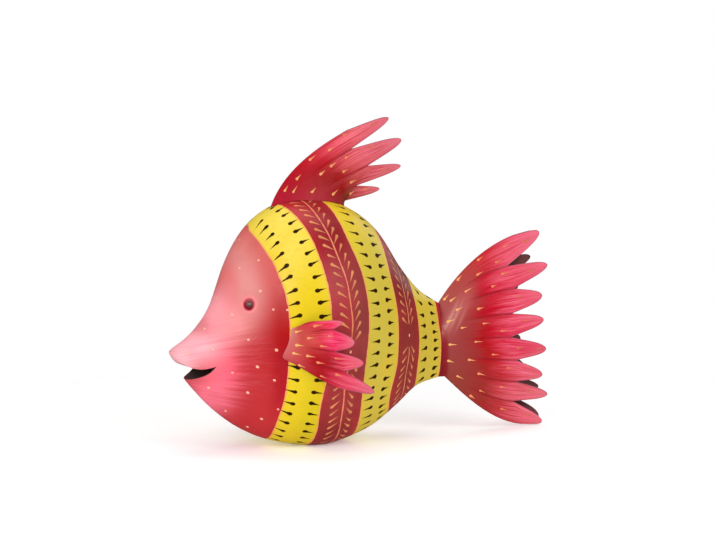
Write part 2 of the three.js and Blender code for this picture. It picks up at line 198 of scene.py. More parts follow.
# Where the body's rings and sides are closer together, as how much and over what reach
EYE_RINGS = (1.3, mm(11))
NOSE_RINGS = (1.2, mm(26))
TIP_RINGS = (9, mm(3))
EYE_SIDES = (1.6, 0.11)

# Shares of the way across a finger, up its strip and up its leaf, and its arch from edge to edge
ACROSS = np.linspace(0, 1, FINGER_COLUMNS + 1)
UP_STRIP = np.linspace(0, 1, STRIP_ROWS + 1)[:, None]
UP_LEAF = np.sin(np.pi / 2 * np.arange(1, LEAF_ROWS + 1) / LEAF_ROWS)[:, None]
ARCH = 1 - (2 * ACROSS - 1) ** 2


def smooth(low, high, value):
    """0 below low, 1 above high and a soft step between them."""
    t = np.clip((value - low) / (high - low), 0, 1)
    return t * t * (3 - 2 * t)


def unit(vectors):
    """The same directions with a length of 1."""
    return vectors / np.maximum(np.linalg.norm(vectors, axis=-1, keepdims=True), LEAST)


def through(stations):
    """A smooth curve through [x, value] stations, as a function of x."""
    x, value = np.asarray(stations, float).T
    span = np.diff(x)
    rise = np.diff(value) / span
    inner = (rise[:-1] * span[1:] + rise[1:] * span[:-1]) / (span[1:] + span[:-1])
    slope = np.concatenate([rise[:1], inner, rise[-1:]])

    def at(where):
        inside = np.clip(where, x[0], x[-1])
        i = np.clip(np.searchsorted(x, inside, side="right") - 1, 0, len(x) - 2)
        t = (inside - x[i]) / span[i]
        back = 1 - t
        ends = (1 + 2 * t) * back * back * value[i] + t * t * (3 - 2 * t) * value[i + 1]
        return ends + t * back * span[i] * (back * slope[i] - t * slope[i + 1])

    return at


top_at = through(TOP_LINE)
bottom_at = through(BOTTOM_LINE)
half_width_at = through(HALF_WIDTH)
band_line_at = [through(line) for line in BAND_LINES]


def blended(stops, share):
    """Colours along a row of [share, red, green, blue] stops."""
    places, *levels = np.array(stops).T
    return np.stack([np.interp(share, places, level) for level in screen(*levels)], -1)


def waves(where, table):
    """A sum of sine waves, from rows of [pace, shift, size]."""
    return sum(size * np.sin(where * pace + shift) for pace, shift, size in table)


def bell(away, most, reach):
    """A soft bump, which is most at its middle and fades with the distance from there."""
    return most * np.exp(-((away / reach) ** 2))


def walk(points):
    """How far along a row of points each one lies."""
    return np.concatenate([[0], np.cumsum(np.linalg.norm(np.diff(points, axis=0), axis=1))])


def section(x):
    """The body's elliptical section at x: its middle height, half height and half width."""
    top, bottom = top_at(x), bottom_at(x)
    return (top + bottom) / 2, (top - bottom) / 2, half_width_at(x)


def on_body(x, z, side):
    """The point of the body's skin at x and z. side is -1 on the fish's left and 1 on its right."""
    middle, high, wide = section(x)
    y = side * wide * np.sqrt(np.clip(1 - ((z - middle) / high) ** 2, 0, 1))
    return np.stack(np.broadcast_arrays(x, y, z), -1)


def body_normal(points):
    """The direction straight out of the body's skin at points on or near it."""
    x, y, z = np.moveaxis(points, -1, 0)
    step = mm(0.5)

    def level(x_, y_, z_):
        middle, high, wide = section(x_)
        high, wide = np.maximum(high, LEAST), np.maximum(wide, LEAST)
        return (y_ / wide) ** 2 + ((z_ - middle) / high) ** 2

    slopes = [
        level(x + step, y, z) - level(x - step, y, z),
        level(x, y + step, z) - level(x, y - step, z),
        level(x, y, z + step) - level(x, y, z - step),
    ]
    return unit(np.stack(slopes, -1))


def crease_curve(start, start_angle, end, end_angle):
    """Points of a crease from the foot to a valley, which leaves and arrives at angles in the X-Z plane."""
    reach = np.linalg.norm(end - start) / 3

    def heading(angle):
        return np.array([math.cos(math.radians(angle)), 0, math.sin(math.radians(angle))])

    first = start + heading(start_angle) * reach
    second = end - heading(end_angle) * reach
    first[1], second[1] = [start[1] + (end[1] - start[1]) * share for share in CREASE_SPREAD]
    t = UP_STRIP
    back = 1 - t
    return back**3 * start + 3 * back * back * t * first + 3 * back * t * t * second + t**3 * end


def ridge_rise(t):
    """How much of its full height a finger's ridge has, at t of the way up the strip."""
    return smooth(RIDGE_START, RIDGE_FULL, t)


def finger_grids(foot, creases, tips, ridge):
    """One grid of points for each finger, with rows from the foot to the tip and columns across."""
    u, arch = ACROSS[:, None], ARCH[:, None]
    t, q = UP_STRIP[..., None], UP_LEAF[..., None]
    grids = []
    for number, tip in enumerate(tips):
        left, right = creases[number], creases[number + 1]
        bow = foot(number + ACROSS) - foot(number) - (foot(number + 1) - foot(number)) * u
        lean = ridge(number + ACROSS) * arch
        strip = left[:, None] + (right - left)[:, None] * u + bow * (1 - t) ** 2 + lean * ridge_rise(t)
        middle = (left[-1] + right[-1]) / 2
        width = (1 - LEAF_TAPER * q) * np.sqrt(1 - q**LEAF_ROUNDNESS)
        leaf = middle + (tip - middle) * q + (right[-1] - left[-1]) * (u - 0.5) * width
        grids.append(np.concatenate([strip, leaf + lean * (1 - q) ** RIDGE_FADE]))
    return grids


def tail_grids(side):
    """The fingers of one of the tail's two sheets."""
    count = len(TAIL_TIPS)
    rise = TAIL_RIGHT_RISE if side > 0 else 0
    middle, high, wide = section(NECK_X)

    def lift(s):
        return 1 - 2 * s / count

    def foot(s):
        angle = np.pi * np.asarray(s, float) / count
        x = NECK_X + np.interp(np.sin(angle / 2), [0, 1], TAIL_SLEEVE)
        y = side * (wide - FIN_SHEET / 2) * np.sin(angle)
        return np.stack([x, y, middle + (high - FIN_SHEET / 2) * np.cos(angle)], -1)

    def ridge(s):
        lean = np.radians(TAIL_RIDGE_LEAN * lift(s))
        return np.stack([0 * lean, side * np.cos(lean), np.sin(lean)], -1) * TAIL_RIDGE

    creases = []
    for k, (x, apart, z) in enumerate(TAIL_VALLEYS):
        joined = k in (0, count)
        start_angle, end_angle = lift(k) * (TAIL_FAN_UP if lift(k) > 0 else TAIL_FAN_DOWN)
        end = np.array([x, side * apart, z + (0 if joined else rise)])
        creases.append(crease_curve(foot(k), start_angle, end, end_angle))
    tips = [np.array([x, side * apart, z + (rise if k else 0)]) for k, (x, apart, z) in enumerate(TAIL_TIPS)]
    grids = finger_grids(foot, creases, tips, ridge)
    sleeve = [grid[:1] * [0, 1, 1] + [NECK_X + SEAM, 0, 0] for grid in grids]
    return [np.concatenate(pair) for pair in zip(sleeve, grids)]


def dorsal_grids():
    """The fingers of the dorsal fin in the middle plane, and the half thickness that each point adds."""
    def foot(s):
        x = np.interp(s, np.arange(len(DORSAL_FOOT_X)), DORSAL_FOOT_X)
        return np.stack([x, 0 * x, top_at(x) + SEAM], -1)

    creases = []
    for k, (x, z) in enumerate(DORSAL_VALLEYS):
        end = np.array([x, 0, z])
        creases.append(crease_curve(foot(k), DORSAL_START_ANGLES[k], end, DORSAL_END_ANGLES[k]))
    tips = [np.array([x, 0, z]) for x, z in DORSAL_TIPS]
    swells = []
    for number in range(len(tips)):
        wide = np.sin(np.pi * (number + ACROSS) / len(tips))
        strip = wide * (1 - UP_STRIP) * DORSAL_HALF_FOOT + ARCH * ridge_rise(UP_STRIP) * DORSAL_RIDGE
        swells.append(np.concatenate([strip, ARCH * DORSAL_RIDGE * (1 - UP_LEAF)]))
    return finger_grids(foot, creases, tips, lambda s: 0), swells


def side_grids(side):
    """The fingers of a side fin, worked out as if the body were flat and then laid over it."""
    order = np.arange(len(SIDE_ROOT))
    root_x, root_z = [through(np.stack([order, column], -1)) for column in SIDE_ROOT.T]

    def foot(s):
        x = root_x(np.asarray(s, float))
        return np.stack([x, x * 0 + FIN_SHEET / 2 + SEAM, root_z(np.asarray(s, float))], -1)

    creases = []
    for k, valley in enumerate(SIDE_VALLEYS):
        creases.append(crease_curve(foot(k), SIDE_START_ANGLES[k], valley, SIDE_END_ANGLES[k]))
    outwards = np.array([0, SIDE_RIDGE, 0])
    laid = []
    for grid in finger_grids(foot, creases, SIDE_TIPS, lambda s: outwards):
        x, off, z = np.moveaxis(grid, -1, 0)
        laid.append(np.stack([x, on_body(x, z, side)[..., 1] + side * off, z], -1))
    return laid


# Colours, as they look on screen
GLOSS = 0.012


def screen(red, green, blue):
    """A colour given from 0 to 255 as it looks on screen, as the shaders want it: less what gloss adds."""
    share = np.array([red, green, blue]) / 255
    bright = np.where(share <= 0.04045, share / 12.92, ((share + 0.055) / 1.055) ** 2.4)
    return np.maximum(bright - GLOSS, 0.001)


LINE_COLOR = screen(246, 170, 96)
STEM_COLOR = screen(232, 140, 104)
LEAF_COLOR = screen(222, 144, 98)
DOT_COLOR = screen(250, 186, 160)
TADPOLE_COLOR = screen(58, 42, 6)
FIN_STROKE_COLORS = [
    (0.0, 250, 196, 110), (0.25, 244, 168, 112), (0.5, 238, 140, 96), (0.72, 218, 112, 84),
    (1.0, 206, 112, 84),
]

# Soft patches of colour over the head and the bands, as x, z, half width and half height in millimetres,
# strength, red, green and blue. They fall off from their middles, more steeply towards their edges
PATCH_FALL = 0.7
PATCH_EDGE = 1.3
# On the head the pale patches over the brow, beside the eye, along the front edge and over the snout are
# partly a paler dry-brushed pink and partly painted highlight
RED_PATCHES_AND_HIGHLIGHTS = [
    (-150, 222, 20, 26, 0.9, 228, 128, 120),
    (-143, 190, 9, 40, 0.9, 214, 100, 96),
    (-160, 180, 12, 36, 1.0, 234, 150, 147),
    (-172, 200, 6, 28, 0.7, 238, 116, 112),
    (-175, 142, 13, 20, 0.9, 246, 154, 152),
    (-186, 90, 15, 32, 1.0, 250, 102, 124),
    (-195, 58, 20, 22, 0.9, 250, 124, 144),
    (-207, 118, 21, 19, 1.0, 255, 174, 184),
    (-188, 158, 15, 30, 1.0, 255, 160, 168),
    (-226, 105, 14, 16, 1.0, 255, 186, 194),
    (-132, 126, 11, 46, 1.0, 178, 8, 32),
    (-130, 80, 9, 30, 0.8, 178, 30, 42),
    (-70, 240, 24, 40, 1.0, 142, 28, 36),
    (-76, 120, 13, 110, 0.95, 164, 54, 60),
    (-45, 150, 15, 90, 1.0, 148, 66, 64),
    (-62, 30, 30, 40, 1.0, 148, 52, 52),
    (32, 130, 30, 120, 1.0, 148, 60, 54),
    (32, 200, 30, 50, 0.9, 120, 32, 24),
    (110, 110, 20, 60, 1.0, 146, 40, 46),
]
# The yellow is lighter at the top of the first band and darker low down and towards the tail: painted light
# and shade, with a more olive paint towards the tail
YELLOW_PATCHES_LIGHT_AND_SHADE = [
    (-110, 150, 22, 130, 0.9, 236, 206, 40),
    (-118, 235, 26, 34, 0.8, 250, 222, 96),
    (-95, 40, 16, 60, 0.7, 214, 196, 30),
    (-15, 130, 34, 150, 1.0, 213, 192, 74),
    (75, 105, 30, 70, 1.0, 212, 190, 72),
]
RED_BASE = screen(194, 54, 58)
YELLOW_BASE = screen(232, 204, 48)
EYE_RIM = screen(255, 142, 146)
EYE_PINK = screen(226, 112, 118)
# The colour of the painted shade on the wall of each eye's dimple
EYE_PAINTED_SHADE = screen(172, 30, 54)

# How the paint in and around an eye's dimple fades with the distance, in the dimple's radii, and how its
# crescent of painted shade fades with the way that a place lies from the eye, in X and Z
RIM_FADE = (1.5, 1.15)
RIM_STRENGTH = 0.75
DIMPLE_FADE = (1.05, 0.8)
CRESCENT_FADE = (-0.6, 0.5)
CRESCENT_WAY = [-0.8, -0.6]

# Dots on each side of the head, as [x, z]
HEAD_DOTS = mm([
    [-152, 229], [-147, 209], [-162, 200], [-150, 177], [-180, 167], [-174, 151], [-141, 158],
    [-129, 158], [-198, 135], [-162, 125], [-194, 114], [-219, 109], [-139, 115], [-154, 96],
    [-176, 89], [-139, 82], [-160, 67], [-197, 72], [-176, 45], [-143, 37], [-151, 26], [-131, 49],
])
DOT_RADIUS = mm(1.35)

# Rows of tadpoles in the yellow bands: the band, how far across it their heads lie, which way their tails
# point along X, how far down from the top the first one is, their spacing, their length, their size, and how
# far the tails drop at each of the slant heights
SLANT_HEIGHTS = mm([20, 50, 90, 130, 160, 200, 240])
TADPOLE_ROWS = [
    (0, 0.22, -1, mm(14), mm(14.1), mm(12.5), 1.0, (-0.15, -0.15, -0.12, 0.08, 0.22, 0.5, 0.35)),
    (0, 0.73, 1, mm(4), mm(14.1), mm(11), 1.0, (0.15, 0.15, 0.12, -0.05, -0.15, -0.3, -0.33)),
    (2, 0.32, -1, mm(10), mm(13.5), mm(12.5), 1.0, (0.12, 0.04, 0, 0, -0.04, -0.13, -0.13)),
    (2, 0.68, 1, mm(3), mm(12.5), mm(10.5), 1.08, (-0.15, -0.06, -0.02, 0, -0.1, -0.24, -0.28)),
    (4, 0.30, -1, mm(6), mm(12.8), mm(10.5), 1.08, (0.4, 0.4, 0.1, 0, -0.4, -0.5, -0.5)),
    (4, 0.74, 1, mm(4), mm(10.6), mm(8.5), 1.08, (-0.2, -0.25, -0.2, 0.05, 0.2, 0.2, 0.2)),
]
TADPOLE_RADIUS = mm(2.25)
TADPOLE_FULLNESS = 0.75

# Sprigs in the maroon bands: the band, the height of the dot that parts them, and the leaves' spacing
SPRIGS = [(1, mm(111), mm(10.9)), (3, mm(120), mm(9.5))]
STEM_SHARE = 0.5
LINE_HALF_WIDTH = mm(0.8)
STEM_HALF_WIDTH = mm(0.9)
STEM_GAP = mm(11)
LEAF_LENGTH = mm(11)
LEAF_RADIUS = mm(1.6)
LEAF_FULLNESS = 0.9
STEM_WAVES = [(1 / mm(19), 0, mm(0.6)), (1 / mm(7), 0, mm(0.4))]

# Each sprig's two rows of leaves: how far across the band they lie, and how far their tails turn towards the
# stem and towards the dot
LEAF_SIDES = [(0.25, 0.8, 0.57), (0.72, 0.64, 0.85)]

# Strokes on each finger of the fins, as [how far along, how far across]
TAIL_STROKES = [
    [[0.06, 0.7], [0.21, 0.25], [0.41, 0.22], [0.42, 0.8], [0.61, 0.7], [0.64, 0.3], [0.85, 0.55]],
    [[0.12, 0.3], [0.26, 0.3], [0.47, 0.7], [0.6, 0.3], [0.82, 0.5]],
    [[0.05, 0.8], [0.15, 0.15], [0.37, 0.5], [0.74, 0.35]],
    [[0.2, 0.35], [0.4, 0.3], [0.58, 0.72], [0.8, 0.3]],
    [[0.08, 0.35], [0.32, 0.15], [0.47, 0.75], [0.71, 0.45], [0.92, 0.55]],
    [[0.08, 0.5], [0.27, 0.15], [0.37, 0.85], [0.64, 0.35]],
    [[0.15, 0.5], [0.38, 0.85], [0.55, 0.35], [0.79, 0.45]],
    [[0.32, 0.6], [0.62, 0.4], [0.86, 0.4]],
]
DORSAL_STROKES = [
    [[0.08, 0.3], [0.08, 0.7], [0.2, 0.45], [0.36, 0.18], [0.48, 0.42], [0.62, 0.18], [0.84, 0.28]],
    [[0.07, 0.48], [0.25, 0.12], [0.37, 0.16], [0.38, 0.66], [0.49, 0.22], [0.72, 0.2]],
    [[0.1, 0.58], [0.15, 0.12], [0.36, 0.52], [0.77, 0.48]],
    [[0.33, 0.5], [0.61, 0.32]],
]
SIDE_STROKES = [
    [[0.1, 0.55], [0.49, 0.45]],
    [[0.12, 0.85], [0.3, 0.3], [0.51, 0.8], [0.62, 0.3]],
    [[0.1, 0.5], [0.29, 0.5], [0.42, 0.8], [0.65, 0.4]],
    [[0.15, 0.55], [0.38, 0.75], [0.52, 0.3]],
]
FIN_STROKE_RADIUS = mm(1.4)
FIN_STROKE_LENGTH = mm(8.5)
FIN_STROKE_FULLNESS = 0.7

# How far a stroke's faces lie from it at most, in its radii, how squarely they face it, its least length
# in its radii, and the distance that stands for no stroke
STROKE_REACH = 5
STROKE_FACING = 0.3
STROKE_LEAST = 0.1
FAR = 50.0

# The edge of a stroke as its material draws it, in its radii: how its sides wobble, how much longer its
# head is than wide, how round its head runs into its tail, and how soft its edge is
WOBBLE_SCALE = 700
WOBBLE = 0.5
HEAD_SQUEEZE = 0.8
NECK_ROUND = 0.35
STROKE_EDGE = 0.14
BUMP = 0.4 * MM

chance = np.random.default_rng(7)


def brushed(place, heading, normal, radius, length, color, fullness=0.5):
    """A painted stroke: a round head at place and a tail that thins out towards heading, where fullness is
    how much of the head's width it starts with."""
    normal = unit(normal)
    heading = unit(heading - normal * np.dot(heading, normal))
    return place, heading, np.cross(normal, heading), normal, radius, length, color, fullness


def jitter(amount):
    return chance.uniform(-amount, amount)


def band_path(band, share, side):
    """Points down one side of the body along a band, share of the way across it, and the way walked."""
    angle = np.linspace(np.pi / 2, -np.pi / 2, PATH_POINTS)
    z = mm(135) * (1 + np.sin(angle))
    for _ in range(PATH_ROUNDS):
        x = band_line_at[band](z) * (1 - share) + band_line_at[band + 1](z) * share
        middle, high, _wide = section(x)
        z = middle + high * np.sin(angle)
    points = on_body(x, z, side)
    return points, walk(points)


def tadpoles(side):
    strokes = []
    forward = np.array([1.0, 0, 0])
    for band, share, way, start, spacing, length, size, slants in TADPOLE_ROWS:
        points, walked = band_path(band, share, side)
        places = np.arange(start, walked[-1] - spacing / 3, spacing)
        places = places + chance.uniform(-0.8, 0.8, len(places)) * MM
        for where in places:
            i = min(np.searchsorted(walked, where), len(points) - 2)
            normal = body_normal(points[i])
            down = -side * unit(np.cross(forward, normal))
            along = unit(forward - normal * normal[0]) * way
            drop = np.interp(points[i, 2], SLANT_HEIGHTS, slants)
            heading = along + down * (drop + jitter(0.08))
            radius = TADPOLE_RADIUS * size * chance.uniform(0.9, 1.1)
            place = points[i] + along * jitter(mm(0.5))
            reach = length * chance.uniform(0.88, 1.1)
            strokes.append(brushed(place, heading, normal, radius, reach, TADPOLE_COLOR, TADPOLE_FULLNESS))
    return strokes


def sprig_leaves(side):
    strokes = []
    for band, dot_z, spacing in SPRIGS:
        stem, _walked = band_path(band, STEM_SHARE, side)
        middle = np.argmin(np.abs(stem[:, 2] - dot_z))
        normal = body_normal(stem[middle])
        strokes.append(brushed(stem[middle], np.array([0, 0, 1.0]), normal, DOT_RADIUS, 0, DOT_COLOR))
        for share, to_stem, to_dot in LEAF_SIDES:
            points, walked = band_path(band, share, side)
            centre = walked[np.argmin(np.abs(points[:, 2] - dot_z))]
            for way in (-1, 1):
                reach = centre if way < 0 else walked[-1] - centre
                count = int((reach - STEM_GAP - spacing) / spacing) + 1
                for step in range(count):
                    where = centre + way * (STEM_GAP + spacing * (step + 0.85)) + jitter(mm(0.7))
                    i = int(np.clip(np.searchsorted(walked, where), 1, len(points) - 2))
                    away = unit(points[i + 1] - points[i]) * way
                    inward = stem[np.argmin(np.linalg.norm(stem - points[i], axis=1))] - points[i]
                    heading = unit(inward) * to_stem * chance.uniform(0.85, 1.15) - away * to_dot
                    size = chance.uniform(0.88, 1.15)
                    normal = body_normal(points[i])
                    color = LEAF_COLOR * chance.uniform(0.85, 1.1)
                    strokes.append(brushed(points[i], heading, normal, LEAF_RADIUS * size,
                                           LEAF_LENGTH * size, color, LEAF_FULLNESS))
    return strokes


def head_dots(side):
    strokes = []
    for x, z in HEAD_DOTS:
        place = on_body(x + jitter(mm(0.4)) * (side > 0), z + jitter(mm(1.5)) * (side > 0), side)
        normal = body_normal(place)
        tail = chance.uniform(0, 1.2) * MM
        size = DOT_RADIUS * chance.uniform(0.8, 1.15)
        strokes.append(brushed(place, np.array([-1.0, 0, 0.3]), normal, size, tail, DOT_COLOR))
    return strokes


def fin_strokes(grids, table, way):
    """Strokes on a fin's outer face. way is 1 where the grids' columns and rows turn out of that face."""
    strokes = []
    for grid, places in zip(grids, table):
        share = walk(grid.mean(1))
        share = share / share[-1]
        for along, across in places:
            row = int(np.clip(np.searchsorted(share, along + jitter(0.008)), 1, len(grid) - 3))
            column = int(np.clip(round((across + jitter(0.04)) * FINGER_COLUMNS), 1, FINGER_COLUMNS - 1))
            place = grid[row, column]
            heading = grid[row + 2, column] - grid[row - 1, column]
            sideways = grid[row, column + 1] - grid[row, column - 1]
            normal = np.cross(sideways, heading) * way
            color = blended(FIN_STROKE_COLORS, along)
            radius = FIN_STROKE_RADIUS * chance.uniform(0.8, 1.15)
            length = FIN_STROKE_LENGTH * chance.uniform(0.75, 1.15)
            strokes.append(brushed(place, heading, normal, radius, length, color, FIN_STROKE_FULLNESS))
    return strokes


# Meshes
def mesh_object(name, points, faces):
    mesh = bpy.data.meshes.new(name)
    mesh.from_pydata(np.asarray(points).tolist(), [], [list(map(int, face)) for face in faces])
    obj = bpy.data.objects.new(name, mesh)
    bpy.context.scene.collection.objects.link(obj)
    return obj


def read(items, name, width, kind=np.float32):
    values = np.empty(len(items) * width, kind)
    items.foreach_get(name, values)
    return values.reshape(-1, width) if width > 1 else values


def write(mesh, domain, **fields):
    """Stores numbers, vectors and opaque colours on a mesh, as attributes that its material reads."""
    kinds = {1: ("FLOAT", "value"), 3: ("FLOAT_VECTOR", "vector"), 4: ("FLOAT_COLOR", "color")}
    for name, values in fields.items():
        kind, field = kinds[1 if values.ndim == 1 else values.shape[1]]
        layer = mesh.attributes.new(name, kind, domain)
        layer.data.foreach_set(field, np.ascontiguousarray(values, np.float32).ravel())


def opaque(colors):
    return np.concatenate([colors, np.ones((len(colors), 1))], 1)


def soften(mesh, angle):
    """Smooth shading, but for edges sharper than angle."""
    mesh.shade_smooth()
    mesh.set_sharp_from_angle(angle=math.radians(angle))


class Faces:
    """A mesh's faces as arrays: their centres, their normals and the vertex and face of each corner."""

    def __init__(self, mesh):
        self.points = read(mesh.vertices, "co", 3).astype(float)
        self.centres = read(mesh.polygons, "center", 3).astype(float)
        self.normals = read(mesh.polygons, "normal", 3).astype(float)
        self.corner_point = read(mesh.loops, "vertex_index", 1, np.int32)
        totals = read(mesh.polygons, "loop_total", 1, np.int32)
        self.corner_face = np.repeat(np.arange(len(totals)), totals)


def lay_strokes(mesh, faces, strokes):
    """Each face knows the stroke nearest to it: its corners hold their place on that stroke."""
    nearest = np.full(len(faces.centres), np.inf)
    chosen = np.full(len(faces.centres), -1)
    for number, (place, heading, _across, normal, radius, length, *_look) in enumerate(strokes):
        away = faces.centres - place
        along = np.clip(away @ heading, 0, length)
        gap = np.linalg.norm(away - along[:, None] * heading, axis=1)
        closer = (gap < nearest) & (gap < STROKE_REACH * radius) & (faces.normals @ normal > STROKE_FACING)
        nearest[closer] = gap[closer]
        chosen[closer] = number
    place, heading, across, _normal, radius, length, color, fullness = map(np.array, zip(*strokes))
    near = chosen[faces.corner_face]
    known = near >= 0
    near = near[known]
    away = faces.points[faces.corner_point[known]] - place[near]
    local = np.full((len(known), 3), FAR)
    local[known, 0] = np.einsum("ij,ij->i", away, heading[near]) / radius[near]
    local[known, 1] = np.einsum("ij,ij->i", away, across[near]) / radius[near]
    local[known, 2] = np.maximum(length[near] / radius[near], STROKE_LEAST)
    colors, full = np.zeros((len(known), 3)), np.zeros(len(known))
    colors[known], full[known] = color[near], fullness[near]
    write(mesh, "CORNER", stroke=local, stroke_color=opaque(colors), fullness=full)


def border(number, y, z):
    """Where along X one of the lines between the bands runs, at y and z."""
    x = band_line_at[number](z) + LINE_WAVE * np.sin(z / LINE_WAVE_LENGTH + number)
    lean = BROW_LEAN * np.tanh(y / BROW_SPREAD) * smooth(*BROW_HEIGHTS, z)
    return x + lean if number == 0 else x


def lay_lines(mesh, faces):
    """The lines between the bands and the sprigs' stems, as the corners' distance in half line widths."""
    x, y, z = faces.points.T
    normals = body_normal(faces.points)
    step = mm(0.5)

    def distance(line):
        turn = (line(y + step, z) - line(y - step, z)) / (2 * step)
        slope = (line(y, z + step) - line(y, z - step)) / (2 * step)
        gradient = np.stack([np.ones_like(x), -turn, -slope], -1)
        gradient -= normals * np.einsum("ij,ij->i", gradient, normals)[:, None]
        return (x - line(y, z)) / np.maximum(np.linalg.norm(gradient, axis=1), 0.3)

    def stem(band, dot_z):
        def line(_aside, height):
            first, second = band_line_at[band](height), band_line_at[band + 1](height)
            return first * (1 - STEM_SHARE) + second * STEM_SHARE + waves(height, STEM_WAVES)

        beyond = np.abs(z - dot_z) >= STEM_GAP
        return np.where(beyond, distance(line) / STEM_HALF_WIDTH, FAR)

    lines = [distance(partial(border, number)) / LINE_HALF_WIDTH for number in range(len(band_line_at))]
    lines += [stem(band, dot_z) for band, dot_z, _spacing in SPRIGS]
    corners = np.stack(lines, -1)[faces.corner_point]
    sums = np.zeros((len(faces.centres), len(lines)))
    np.add.at(sums, faces.corner_face, np.abs(corners))
    chosen = np.argmin(sums, axis=1)[faces.corner_face]
    value = np.take_along_axis(corners, chosen[:, None], 1)[:, 0]
    colors = np.where((chosen < len(band_line_at))[:, None], LINE_COLOR, STEM_COLOR)
    write(mesh, "CORNER", line=value, line_color=opaque(colors))


def band_number(points):
    """A point's place across the bands: below 1 on the head and 1, 2 and so on at the lines."""
    x, y, z = points.T
    lines = np.stack([border(number, y, z) for number in range(len(band_line_at))])
    number = 1 + (x - lines[0]) / BEYOND_LINES
    for i in range(len(lines) - 1):
        across = (x - lines[i]) / (lines[i + 1] - lines[i])
        number = np.where(across > 0, i + 1 + np.minimum(across, 1), number)
    beyond = (x - lines[-1]) / BEYOND_LINES
    return np.where(beyond > 0, len(lines) + beyond, number)


def patched(points, base, patches, streaks=0):
    """A base colour with soft patches of other colours over it, whose places streaks draw out along X."""
    x, _y, z = points.T
    x = x + streaks
    color = np.tile(base, (len(points), 1))
    for centre_x, centre_z, half_wide, half_high, strength, *levels in patches:
        away = ((x / MM - centre_x) / half_wide) ** 2 + ((z / MM - centre_z) / half_high) ** 2
        share = strength * np.exp(-(away**PATCH_EDGE) * PATCH_FALL)[:, None]
        color = color * (1 - share) + screen(*levels) * share
    return color


def ringed_eyes(points, color):
    """The paint in and around the punched eyes: a pink rim, and a crescent of painted shade in front and
    below.
    """
    for side in (-1, 1):
        away = points - on_body(*EYE, side)
        reach = np.linalg.norm(away, axis=1) / DIMPLE_RADIUS
        front_low = unit(away + mm(0.01))[:, [0, 2]] @ CRESCENT_WAY
        rim = (RIM_STRENGTH * smooth(*RIM_FADE, reach))[:, None]
        color = color * (1 - rim) + EYE_RIM * rim
        dimple = smooth(*DIMPLE_FADE, reach)[:, None]
        shade_crescent = smooth(*CRESCENT_FADE, front_low)[:, None]
        color = color * (1 - dimple) + (EYE_PINK * (1 - shade_crescent) + EYE_PAINTED_SHADE * shade_crescent) * dimple
    return color


# The body
def places_between(low, high, count, density):
    """count places from low to high, closer together where density is greater."""
    fine = np.linspace(low, high, FINE_PLACES)
    filled = np.cumsum(density(fine))
    filled = (filled - filled[0]) / (filled[-1] - filled[0])
    return np.interp(np.linspace(0, 1, count), filled, fine)


def skin(places, angles, inset):
    """Rings of points round the body, moved in by inset."""
    middle, high, wide = section(places)
    y = (wide - inset)[:, None] * np.cos(angles)
    z = middle[:, None] + (high - inset)[:, None] * np.sin(angles)
    return np.stack([np.broadcast_to(places[:, None], y.shape), y, z], -1)


def loft(rings, start, end):
    """Points and faces of a closed skin of rings, with a point at each end."""
    count, sides = rings.shape[:2]
    points = np.vstack([start, rings.reshape(-1, 3), end])
    ids = 1 + np.arange(count * sides).reshape(count, sides)
    after = np.roll(ids, -1, axis=1)
    faces = np.stack([ids[:-1], after[:-1], after[1:], ids[1:]], -1).reshape(-1, 4).tolist()
    faces += [[0, b, a] for a, b in zip(ids[0], after[0])]
    faces += [[len(points) - 1, a, b] for a, b in zip(ids[-1], after[-1])]
    return points, faces


def middle_point(x):
    return np.array([x, 0, section(x)[0]])


def punch_eyes(points):
    """Presses the punched dimples of the eyes into the skin, each with a slightly raised rim."""
    for side in (-1, 1):
        centre = on_body(*EYE, side)
        away = np.linalg.norm(points - centre, axis=-1) / DIMPLE_RADIUS
        depth = DIMPLE_DEPTH * (1 - smooth(0.5, 1.0, away))
        rim = bell(away - RIM_AT, DIMPLE_RIM, RIM_REACH)
        points = points - body_normal(centre) * (depth - rim)[..., None]
    return points


def lip_outline():
    """The mouth's opening in the X-Z plane, clear of the face in front of it."""
    upper = through(np.vstack([UPPER_LIP, MOUTH_CORNER]))
    lower = through(np.vstack([LOWER_LIP, MOUTH_CORNER]))
    upper_x = np.linspace(MOUTH_CORNER[0], UPPER_LIP[0, 0], LIP_POINTS)[1:]
    lower_x = np.linspace(LOWER_LIP[0, 0], MOUTH_CORNER[0], LIP_POINTS)
    under = np.stack([lower_x, lower(lower_x)], -1)
    over = np.stack([upper_x, upper(upper_x)], -1)
    front = [LOWER_LIP[0, 0], UPPER_LIP[0, 1] + mm(15)]
    return np.vstack([under, over, front])


def prism(outline, width):
    """Points and faces of a block whose outline in the X-Z plane runs through the whole width."""
    count = len(outline)
    points = [(x, y, z) for y in (-width / 2, width / 2) for x, z in outline]
    faces = [list(range(count)), list(range(2 * count - 1, count - 1, -1))]
    faces += [[(i + 1) % count, i, i + count, (i + 1) % count + count] for i in range(count)]
    return points, faces


def cut(obj, points, faces):
    """Takes a closed solid out of obj."""
    tool = mesh_object("cutter", points, faces)
    modifier = obj.modifiers.new("cut", "BOOLEAN")
    modifier.operation = "DIFFERENCE"
    modifier.solver = "MANIFOLD"
    modifier.object = tool
    ready = obj.evaluated_get(bpy.context.evaluated_depsgraph_get())
    mesh = bpy.data.meshes.new_from_object(ready)
    obj.modifiers.clear()
    obj.data = mesh
    bpy.data.objects.remove(tool)


